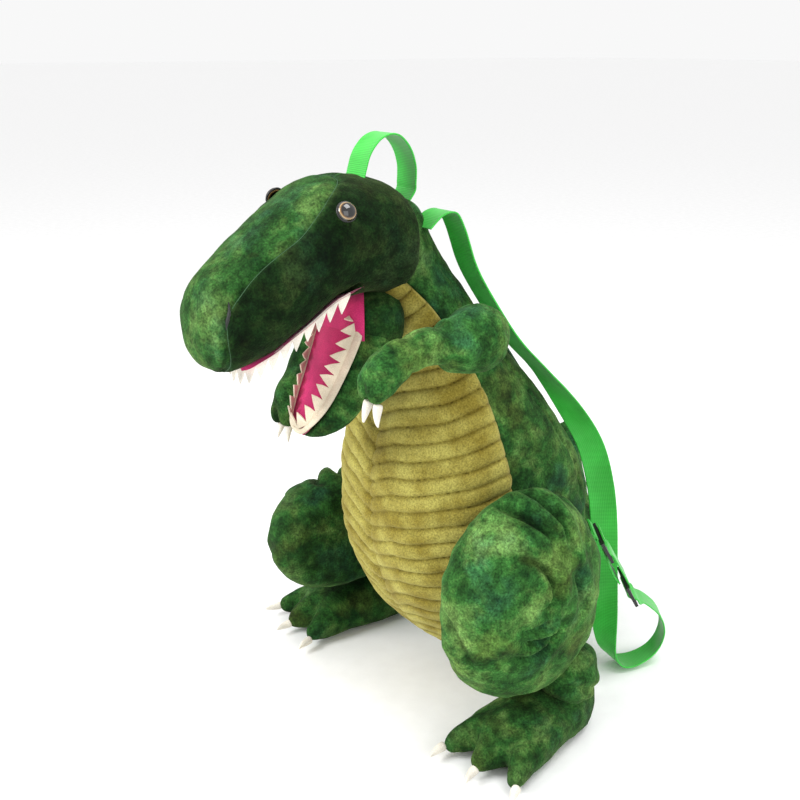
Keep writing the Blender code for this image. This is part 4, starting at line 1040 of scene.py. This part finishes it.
# %% Eyes
def eye_finish(name, centre, out):
    """Rings of colour by the distance from the eye's own axis."""
    made, tree, shader = blank(name, 0.06, Coat_Weight=0.6, Specular_IOR_Level=0.6)
    place = add(tree, "ShaderNodeTexCoord")
    shift = add(tree, "ShaderNodeVectorMath", {"operation": "SUBTRACT"}, {1: centre}, {0: (place, "Object")})
    along = add(tree, "ShaderNodeVectorMath", {"operation": "CROSS_PRODUCT"}, {1: out}, {0: (shift, 0)})
    reach = add(tree, "ShaderNodeVectorMath", {"operation": "LENGTH"}, None, {0: (along, 0)})
    share = add(tree, "ShaderNodeMath", {"operation": "DIVIDE"}, {1: 0.0070}, {0: (reach, "Value")})
    speckle = add(tree, "ShaderNodeTexNoise", None, {"Scale": MM / 1.2, "Detail": 3.0}, {"Vector": (place, "Object")})
    jitter = add(tree, "ShaderNodeMath", {"operation": "MULTIPLY_ADD"}, {1: 0.05, 2: -0.025}, {0: (speckle, "Fac")})
    ring = add(tree, "ShaderNodeMath", {"operation": "ADD"}, None, {0: (share, 0), 1: (jitter, 0)})
    colour = add(tree, "ShaderNodeValToRGB", None, None, {"Fac": (ring, 0)},
                 [(0.0, "#030303"), (0.68, "#050403"), (0.74, "#4a2f16"), (0.82, "#8a6a3c"), (0.86, "#b49a70"),
                  (0.90, "#2a1e14"), (0.95, "#0a0806")])
    tree.links.new(colour.outputs["Color"], shader.inputs["Base Color"])
    return made


for side, way in (("left", 1), ("right", -1)):
    low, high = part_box("eye_" + side)
    centre = (low + high) / 2
    out = Vector((way * 0.88, -0.12, 0.46)).normalized()
    bpy.ops.object.select_all(action="DESELECT")
    bpy.ops.mesh.primitive_uv_sphere_add(segments=40, ring_count=24, radius=0.0068, location=(0, 0, 0))
    dome = bpy.context.object
    dome.name = "eye_dome_" + side
    shape = points_of(dome)
    shape[:, 2] = np.where(shape[:, 2] > 0, shape[:, 2] * 0.58, shape[:, 2] * 0.35)
    turned = np.array(Vector((0, 0, 1)).rotation_difference(out).to_matrix())
    move_points(dome, shape @ turned.T + np.array(centre))
    only(dome)
    bpy.ops.object.shade_smooth()
    fit_out(dome, eye_finish("safety eye " + side, tuple(centre), tuple(out)), "head", ("eye_" + side,))
    bpy.ops.object.select_all(action="DESELECT")
    bpy.ops.mesh.primitive_torus_add(major_segments=44, minor_segments=10, major_radius=0.0068, minor_radius=0.0008)
    rim = bpy.context.object
    rim.name = "eye_rim_" + side
    move_points(rim, points_of(rim) @ turned.T + np.array(centre) - np.array(out) * 0.0006)
    only(rim)
    bpy.ops.object.shade_smooth()
    fit_out(rim, BLACK_PLASTIC, "head")

# %% Nostrils
for side, way in (("left", 1), ("right", -1)):
    part = np.linspace(0, 1, 15)
    on_form = HEAD.places(way * np.radians(119 - 26 * part), 0.728 + 0.043 * part)
    sewn_line("nostril_stitches_" + side, head, on_form, 0.0014, NOSTRIL_THREAD, "head",
              lift=0.1, taper=0.85, flat=0.5)
print("eyes and nostrils sewn on")

# %% [markdown]
# ## Limbs and tail
# Arms, thighs, feet and tail are stuffed bags of the same plush. They have more spare cloth than the
# head, so the pressure leaves creases where a limb bends or is gathered to the body. Deep folds that lie
# in known places are pressed in afterwards along drawn lines.

# %% Thighs
# Each fold is a list of (y, z) points in metres on the thigh's outer face, for the toy's left side.
THIGH_FOLDS = [
    [(-0.095, 0.218), (-0.078, 0.212), (-0.062, 0.203), (-0.051, 0.193), (-0.046, 0.183)],
    [(-0.082, 0.182), (-0.064, 0.174), (-0.053, 0.160), (-0.052, 0.148), (-0.058, 0.140), (-0.068, 0.134)],
    [(-0.086, 0.129), (-0.071, 0.126), (-0.058, 0.129), (-0.050, 0.138)],
    [(-0.085, 0.117), (-0.064, 0.115), (-0.049, 0.120), (-0.044, 0.133)],
    [(-0.091, 0.107), (-0.073, 0.103), (-0.055, 0.107), (-0.045, 0.120)],
    [(-0.092, 0.231), (-0.076, 0.229), (-0.055, 0.219), (-0.041, 0.206), (-0.035, 0.190), (-0.034, 0.175)],
    [(-0.030, 0.160), (-0.024, 0.146), (-0.022, 0.130)],
]
FRONT_SEAM = [[(-0.116, 0.203), (-0.122, 0.180), (-0.123, 0.150), (-0.117, 0.118), (-0.106, 0.090)]]

for side, way in (("left", 1), ("right", -1)):
    thigh = cad_casing("thigh_casing_" + side, ["thigh_filling_" + side], 0.0026)
    stuff(thigh, 0.0048, 0.0045, pressure=4.0, spare=0.05,
          hold=lambda p: np.clip((np.abs(p[:, 0]) - 0.100) / 0.012, 0.05, 1))
    co = points_of(thigh)
    low, high = (np.array(c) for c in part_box("thigh_" + side))
    left_low, left_high = (np.array(c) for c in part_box("thigh_left"))
    scale = (left_high - left_low)[1:] / (high - low)[1:]
    flat = (co[:, 1:] - low[1:]) * scale + left_low[1:]
    outer = np.clip((np.abs(co[:, 0]) - 0.108) / 0.012, 0, 1)
    depth = outer * fold_depth(flat, THIGH_FOLDS, 0.0062, 0.0044)
    depth += outer * fold_depth(flat, FRONT_SEAM, 0.0016, 0.0020)
    depth += 0.0014 * crumple(co * np.array([1, 1, 1.6]), 0.024, 51 + way) + 0.0007 * crumple(co, 0.011, 53)
    push(thigh, depth)
    # Painted light and shade: the near thigh is painted 15 % lighter and the far one 30 % darker; painted shade
    # darkens the folds and their rolls are painted a little lighter.
    set_tone_and_painted_light(thigh, (0.15 if way > 0 else -0.30) + np.clip(depth / 0.004, -0.45, 0.10))
    fit_out(thigh, GREEN_PLUSH, "leg_" + side, ("thigh_" + side, "thigh_filling_" + side))

# %% Ankles
for side, way in (("left", 1), ("right", -1)):
    thigh_low, thigh_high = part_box("thigh_" + side)
    foot_low, foot_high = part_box("foot_" + side)
    top, bottom = thigh_low.z + 0.030, foot_high.z - 0.016
    heel = ((foot_low.x + foot_high.x) / 2 - 0.004 * way, foot_high.y - 0.034, (top + bottom) / 2)
    bpy.ops.object.select_all(action="DESELECT")
    bpy.ops.mesh.primitive_uv_sphere_add(segments=36, ring_count=24, radius=1.0)
    ankle = bpy.context.object
    ankle.name = "ankle_casing_" + side
    ball = points_of(ankle)
    move_points(ankle, np.array(heel) + ball * np.array([0.0240, 0.0250, (top - bottom) / 2 + 0.004]))
    stuff(outward(ankle), 0.0040, 0.0025, pressure=3.0, spare=0.04)
    co = points_of(ankle)
    rings = np.sin((co[:, 2] + 0.3 * co[:, 1]) * math.tau / 0.017 + 3 * crumple(co, 0.03, 57))
    push(ankle, 0.0012 * crumple(co * np.array([1, 1, 2.2]), 0.020, 58 + way) + 0.0011 * rings)
    # Painted shade: the far ankle is painted 30 % darker, the near one 5 %.
    set_tone_and_painted_light(ankle, np.full(len(co), -0.05 if way > 0 else -0.30))
    fit_out(ankle, GREEN_PLUSH, "leg_" + side)

# %% Feet
for side, way in (("left", 1), ("right", -1)):
    foot = cad_casing("foot_casing_" + side, ["foot_filling_" + side], 0.0018)
    stuff(foot, 0.0036, 0.0030, pressure=3.0, spare=0.02)
    co = points_of(foot)
    depth = 0.0014 * crumple(co, 0.022, 61 + way) + 0.0006 * crumple(co, 0.010, 63)
    push(foot, depth)
    set_tone_and_painted_light(foot, np.full(len(co), -0.25))
    co = points_of(foot)
    co[:, 2] = np.maximum(co[:, 2], 0.0002)
    move_points(foot, co)
    fit_out(foot, GREEN_PLUSH, "leg_" + side, ("foot_" + side, "foot_filling_" + side))

# %% Arms
for side, way in (("left", 1), ("right", -1)):
    arm = cad_casing("arm_casing_" + side, ["arm_filling_" + side], 0.0024)
    stuff(arm, 0.0036, 0.0036, pressure=4.0, spare=0.06)
    co = points_of(arm)
    low, high = (np.array(c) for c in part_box("arm_" + side))
    place = (co - low) / (high - low)
    bends = groove(place[:, 1] - 0.50, 0.045) + 0.6 * groove(place[:, 1] - 0.30, 0.030)
    depth = -0.0042 * bends * (0.5 + 0.5 * np.sin(9 * place[:, 2]))
    first, second = (np.mean(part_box(f"finger_claw_{side}_{n}"), axis=0) for n in (1, 2))
    apart, between = (second - first) / np.linalg.norm(second - first), (first + second) / 2
    reach = np.linalg.norm(co - between, axis=1)
    depth -= 0.0060 * groove((co - between) @ apart, 0.0040) * np.clip((0.034 - reach) / 0.016, 0, 1)
    depth += 0.0013 * crumple(co * np.array([0.7, 1.6, 0.7]), 0.018, 71 + way) + 0.0006 * crumple(co, 0.009, 73)
    push(arm, depth)
    # Painted light and shade: the near arm is painted 25 % lighter and the far one 30 % darker; painted shade darkens
    # the creases and their rolls are painted a little lighter.
    set_tone_and_painted_light(arm, (0.25 if way > 0 else -0.30) + np.clip(depth / 0.004, -0.4, 0.1))
    fit_out(arm, GREEN_PLUSH, "arm_" + side, ("arm_" + side, "arm_filling_" + side))

# %% Tail
tail = cad_casing("tail_casing", ["tail_filling"], 0.0024)
stuff(tail, 0.0045, 0.0040, pressure=4.0, spare=0.03)
co = points_of(tail)
push(tail, 0.0016 * crumple(co * np.array([1.4, 1, 1]), 0.026, 81) + 0.0006 * crumple(co, 0.011, 82))
co = points_of(tail)
co[:, 2] = np.maximum(co[:, 2], 0.0002)
move_points(tail, co)
fit_out(tail, GREEN_PLUSH, "tail", ("tail", "tail_filling"))

# %% [markdown]
# ## Claws
# The claws are small felt cones, turned right side out and lightly filled, so each is a curved horn with
# a blunt root. One is drawn out of a ring by extruding, shrinking and turning it five times, and each
# claw of the toy is a copy laid where the model's own claw points.

# %% One claw, then its copies
bpy.ops.object.select_all(action="DESELECT")
bpy.ops.mesh.primitive_circle_add(vertices=14, radius=0.30, fill_type="NGON", location=(0, 0, 0))
claw = bpy.context.object
bpy.ops.object.mode_set(mode="EDIT")
bpy.ops.mesh.select_all(action="SELECT")
for step, (rise, shrink) in enumerate(((0.14, 1.10), (0.20, 0.90), (0.22, 0.76), (0.20, 0.62), (0.14, 0.40))):
    bpy.ops.mesh.extrude_region_move(TRANSFORM_OT_translate={"value": (0.035 * step, 0, rise)})
    bpy.ops.transform.resize(value=(shrink, shrink, 1))
bpy.ops.mesh.select_all(action="SELECT")
bpy.ops.mesh.normals_make_consistent(inside=False)
bpy.ops.object.mode_set(mode="OBJECT")
smooth_claw = claw.modifiers.new("rounding", "SUBSURF")
smooth_claw.levels = smooth_claw.render_levels = 1
bpy.ops.object.modifier_apply(modifier="rounding")
bpy.ops.object.shade_smooth()
pattern = claw.data
claw_points = points_of(claw)
bpy.data.objects.remove(claw)
count = 0
for title in sorted(CAD):
    if "claw" not in title:
        continue
    co = np.array([v.co for v in CAD[title].data.vertices])
    middle = co.mean(axis=0)
    way = np.linalg.svd(co - middle)[2][0]
    reach = (co - middle) @ way
    spread = np.linalg.norm(co - middle - np.outer(reach, way), axis=1)
    if spread[reach > reach.max() * 0.8].mean() > spread[reach < reach.min() * 0.8].mean():
        way, reach = -way, -reach
    length, root = reach.max() - reach.min(), middle + way * reach.min()
    turned = np.array(Vector((0, 0, 1)).rotation_difference(Vector(way)).to_matrix())
    copy = bpy.data.objects.new(title + "_felt", pattern.copy())
    bpy.context.scene.collection.objects.link(copy)
    shape = claw_points * length * np.array([0.70, 0.70, 1.10]) - np.array([0, 0, 0.0065])
    move_points(copy, shape @ turned.T + root)
    fit_out(copy, WHITE_FELT, CAD[title]["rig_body"], (title,))
    count += 1
print("claws sewn on:", count)

# %% [markdown]
# ## Webbing
# The model's straps are coarse ribbons. Each is read back as a line of stations, smoothed, and rebuilt as
# webbing with a flat section, rounded selvedges and its own map in metres for the weave. A strap's flat
# size is its width and the length of that line.

# %% Webbing helpers
def stations_of(title, start):
    """Centres and width directions along a ribbon, read from its corners outwards from one end."""
    mesh = bmesh.new()
    mesh.from_mesh(CAD[title].data)
    bmesh.ops.remove_doubles(mesh, verts=mesh.verts, dist=0.00001)
    layer = []
    for way in (-0.012, 0.012):
        corner = start + Vector((way, 0, 0))
        layer += sorted(mesh.verts, key=lambda vert: (vert.co - corner).length)[:2]
    seen, centres, sides = set(layer), [], []
    while len(layer) == 4:
        centres.append(sum((vert.co for vert in layer), Vector()) / 4)
        far = max(layer, key=lambda vert: (vert.co - layer[0].co).length)
        mates = [vert for vert in layer if vert not in (layer[0], far)]
        close = min(mates, key=lambda vert: (vert.co - far.co).length)
        other = [vert for vert in mates if vert is not close][0]
        side = ((far.co + close.co) - (layer[0].co + other.co)).normalized()
        if sides and side.dot(sides[-1]) < 0:
            side = -side
        sides.append(side)
        ring = {edge.other_vert(vert) for vert in layer for edge in vert.link_edges} - seen
        layer = list(ring)
        seen |= ring
    mesh.free()
    return np.array(centres), np.array(sides)


def finer(rows, keys, places):
    """Values at places on a smooth curve through the rows."""
    i = np.clip(np.searchsorted(keys, places, side="right") - 1, 0, len(keys) - 2)
    t = ((places - keys[i]) / (keys[i + 1] - keys[i]))[:, None]
    a, b, c, d = (rows[np.clip(i + k, 0, len(rows) - 1)] for k in (-1, 0, 1, 2))
    return 0.5 * (2 * b + (c - a) * t + (2 * a - 5 * b + 4 * c - d) * t ** 2 + (3 * b - a - 3 * c + d) * t ** 3)


WEBBING_WIDTH, WEBBING_THICK = 0.024, 0.0014
# The webbing's section: (share of the half width, share of the half thickness), once round.
SECTION = [(-1.0, 0.45), (-0.97, 0.9), (-0.90, 1.0), (-0.86, 0.75), (0, 0.85), (0.86, 0.75), (0.90, 1.0),
           (0.97, 0.9), (1.0, 0.45)]
SECTION = SECTION + [(a, -b) for a, b in reversed(SECTION)]


def webbing(name, title, start, step, tucks):
    """Rebuild a ribbon of the model as webbing, with ends tucked into the plush; gives its length too."""
    centres, sides = stations_of(title, start)
    if tucks[0]:
        centres, sides = np.vstack([centres[0] + tucks[0], centres]), np.vstack([sides[0], sides])
    if tucks[1]:
        centres, sides = np.vstack([centres, centres[-1] + tucks[1]]), np.vstack([sides, sides[-1]])
    keys = np.concatenate([[0], np.cumsum(np.linalg.norm(np.diff(centres, axis=0), axis=1))])
    places = np.linspace(0, keys[-1], max(8, int(keys[-1] / step)))
    line = finer(centres, keys, places)
    across = finer(sides, keys, places)
    across /= np.linalg.norm(across, axis=1, keepdims=True)
    ahead = np.gradient(line, axis=0)
    ahead /= np.linalg.norm(ahead, axis=1, keepdims=True)
    face = np.cross(across, ahead)
    rings, maps = [], []
    for index in range(len(places)):
        rings.append([line[index] + across[index] * (a * WEBBING_WIDTH / 2)
                      + face[index] * (b * WEBBING_THICK / 2) for a, b in SECTION])
        maps.append([(a * WEBBING_WIDTH / 2, places[index]) for a, b in SECTION])
    made = loft(name, rings, maps)
    print(name, "is", round(float(keys[-1]), 3), "m long")
    return made, float(keys[-1])


# %% Shoulder straps and carrying loop
STRAP_START = Vector((0.026, 0.0850, 0.4090)) + MIDDLE
LOOP_START = Vector((0.0, 0.0350, 0.4440)) + MIDDLE
for side, way in (("left", 1), ("right", -1)):
    strap, length = webbing("webbing_strap_" + side, "shoulder_strap_" + side,
                            Vector((STRAP_START.x * way, STRAP_START.y, STRAP_START.z)), 0.0022,
                            ((0, -0.012, -0.009), None))
    fit_out(strap, WEBBING, "body", ("shoulder_strap_" + side,))
loop, length = webbing("webbing_carry_loop", "carry_loop", LOOP_START, 0.0015, ((0, -0.003, -0.010), (0, -0.008, -0.010)))
fit_out(loop, WEBBING, "head", ("carry_loop",))

# %% [markdown]
# ## Slides, rings and zip
# The slides, the rings, the zip's tape, its slider and its pull are hard or flat pieces whose shape in
# the model is right. They keep their mesh and only get their finish. The zip's nylon teeth are too many
# to be in the model: one tooth is shaped, then copied along each lip.

# %% Finishes for the model's own pieces
KEPT = {
    "tri_glide_left": BLACK_PLASTIC, "tri_glide_right": BLACK_PLASTIC, "strap_ring_left": BLACK_PLASTIC,
    "strap_ring_right": BLACK_PLASTIC, "zip_placket": ZIP_TAPE, "zip_lip_left": ZIP_TAPE,
    "zip_lip_right": ZIP_TAPE, "zip_slider": ZIP_METAL, "zip_pull": ZIP_METAL, "bag_lining": LINING,
    "ring_tab_left": WEBBING, "ring_tab_right": WEBBING,
}
for title, finish in KEPT.items():
    CAD[title].data.materials.clear()
    CAD[title].data.materials.append(finish)
print("model pieces with a finish:", len(KEPT))

# %% Zip teeth
TOOTH_STEP = 0.0024
for side, way in (("left", 1), ("right", -1)):
    low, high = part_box("zip_lip_" + side)
    top = ZIP_CENTRE - ZIP_DOWN * 0.057
    count = int(0.114 / TOOTH_STEP)
    bpy.ops.object.select_all(action="DESELECT")
    bpy.ops.mesh.primitive_cube_add(size=1.0)
    teeth = bpy.context.object
    teeth.name = "zip_teeth_" + side
    shape = points_of(teeth) * np.array([0.0030, 0.0012, 0.0011])
    turned = np.array(Matrix((Vector((1, 0, 0)), ZIP_DOWN, ZIP_OUT)).transposed())
    offset = 0.5 * TOOTH_STEP * (way < 0)
    first = np.array(top + Vector((way * 0.0017, 0, 0)) + ZIP_OUT * 0.0014 + ZIP_DOWN * offset)
    move_points(teeth, shape @ turned.T + first)
    only(teeth)
    soften = teeth.modifiers.new("soft edges", "BEVEL")
    soften.width, soften.segments = 0.0003, 1
    row = teeth.modifiers.new("row", "ARRAY")
    row.count, row.use_relative_offset, row.use_constant_offset = count, False, True
    row.constant_offset_displace = ZIP_DOWN * TOOTH_STEP
    bpy.ops.object.modifier_apply(modifier="soft edges")
    bpy.ops.object.modifier_apply(modifier="row")
    fit_out(teeth, ZIP_NYLON, "lip_" + side)
    print(teeth.name, count, "teeth")

# %% [markdown]
# ## Floor finish
# The floor is a pale seamless sheet with a faint grain, so the toy's soft shadow has something to lie on.

# %% Floor
floor.data.materials.append(grained("pale paper sweep", "#ffffff", "#fdfdfd", 2.0, 0.000002, 0.9, worn="#fbfbfb"))
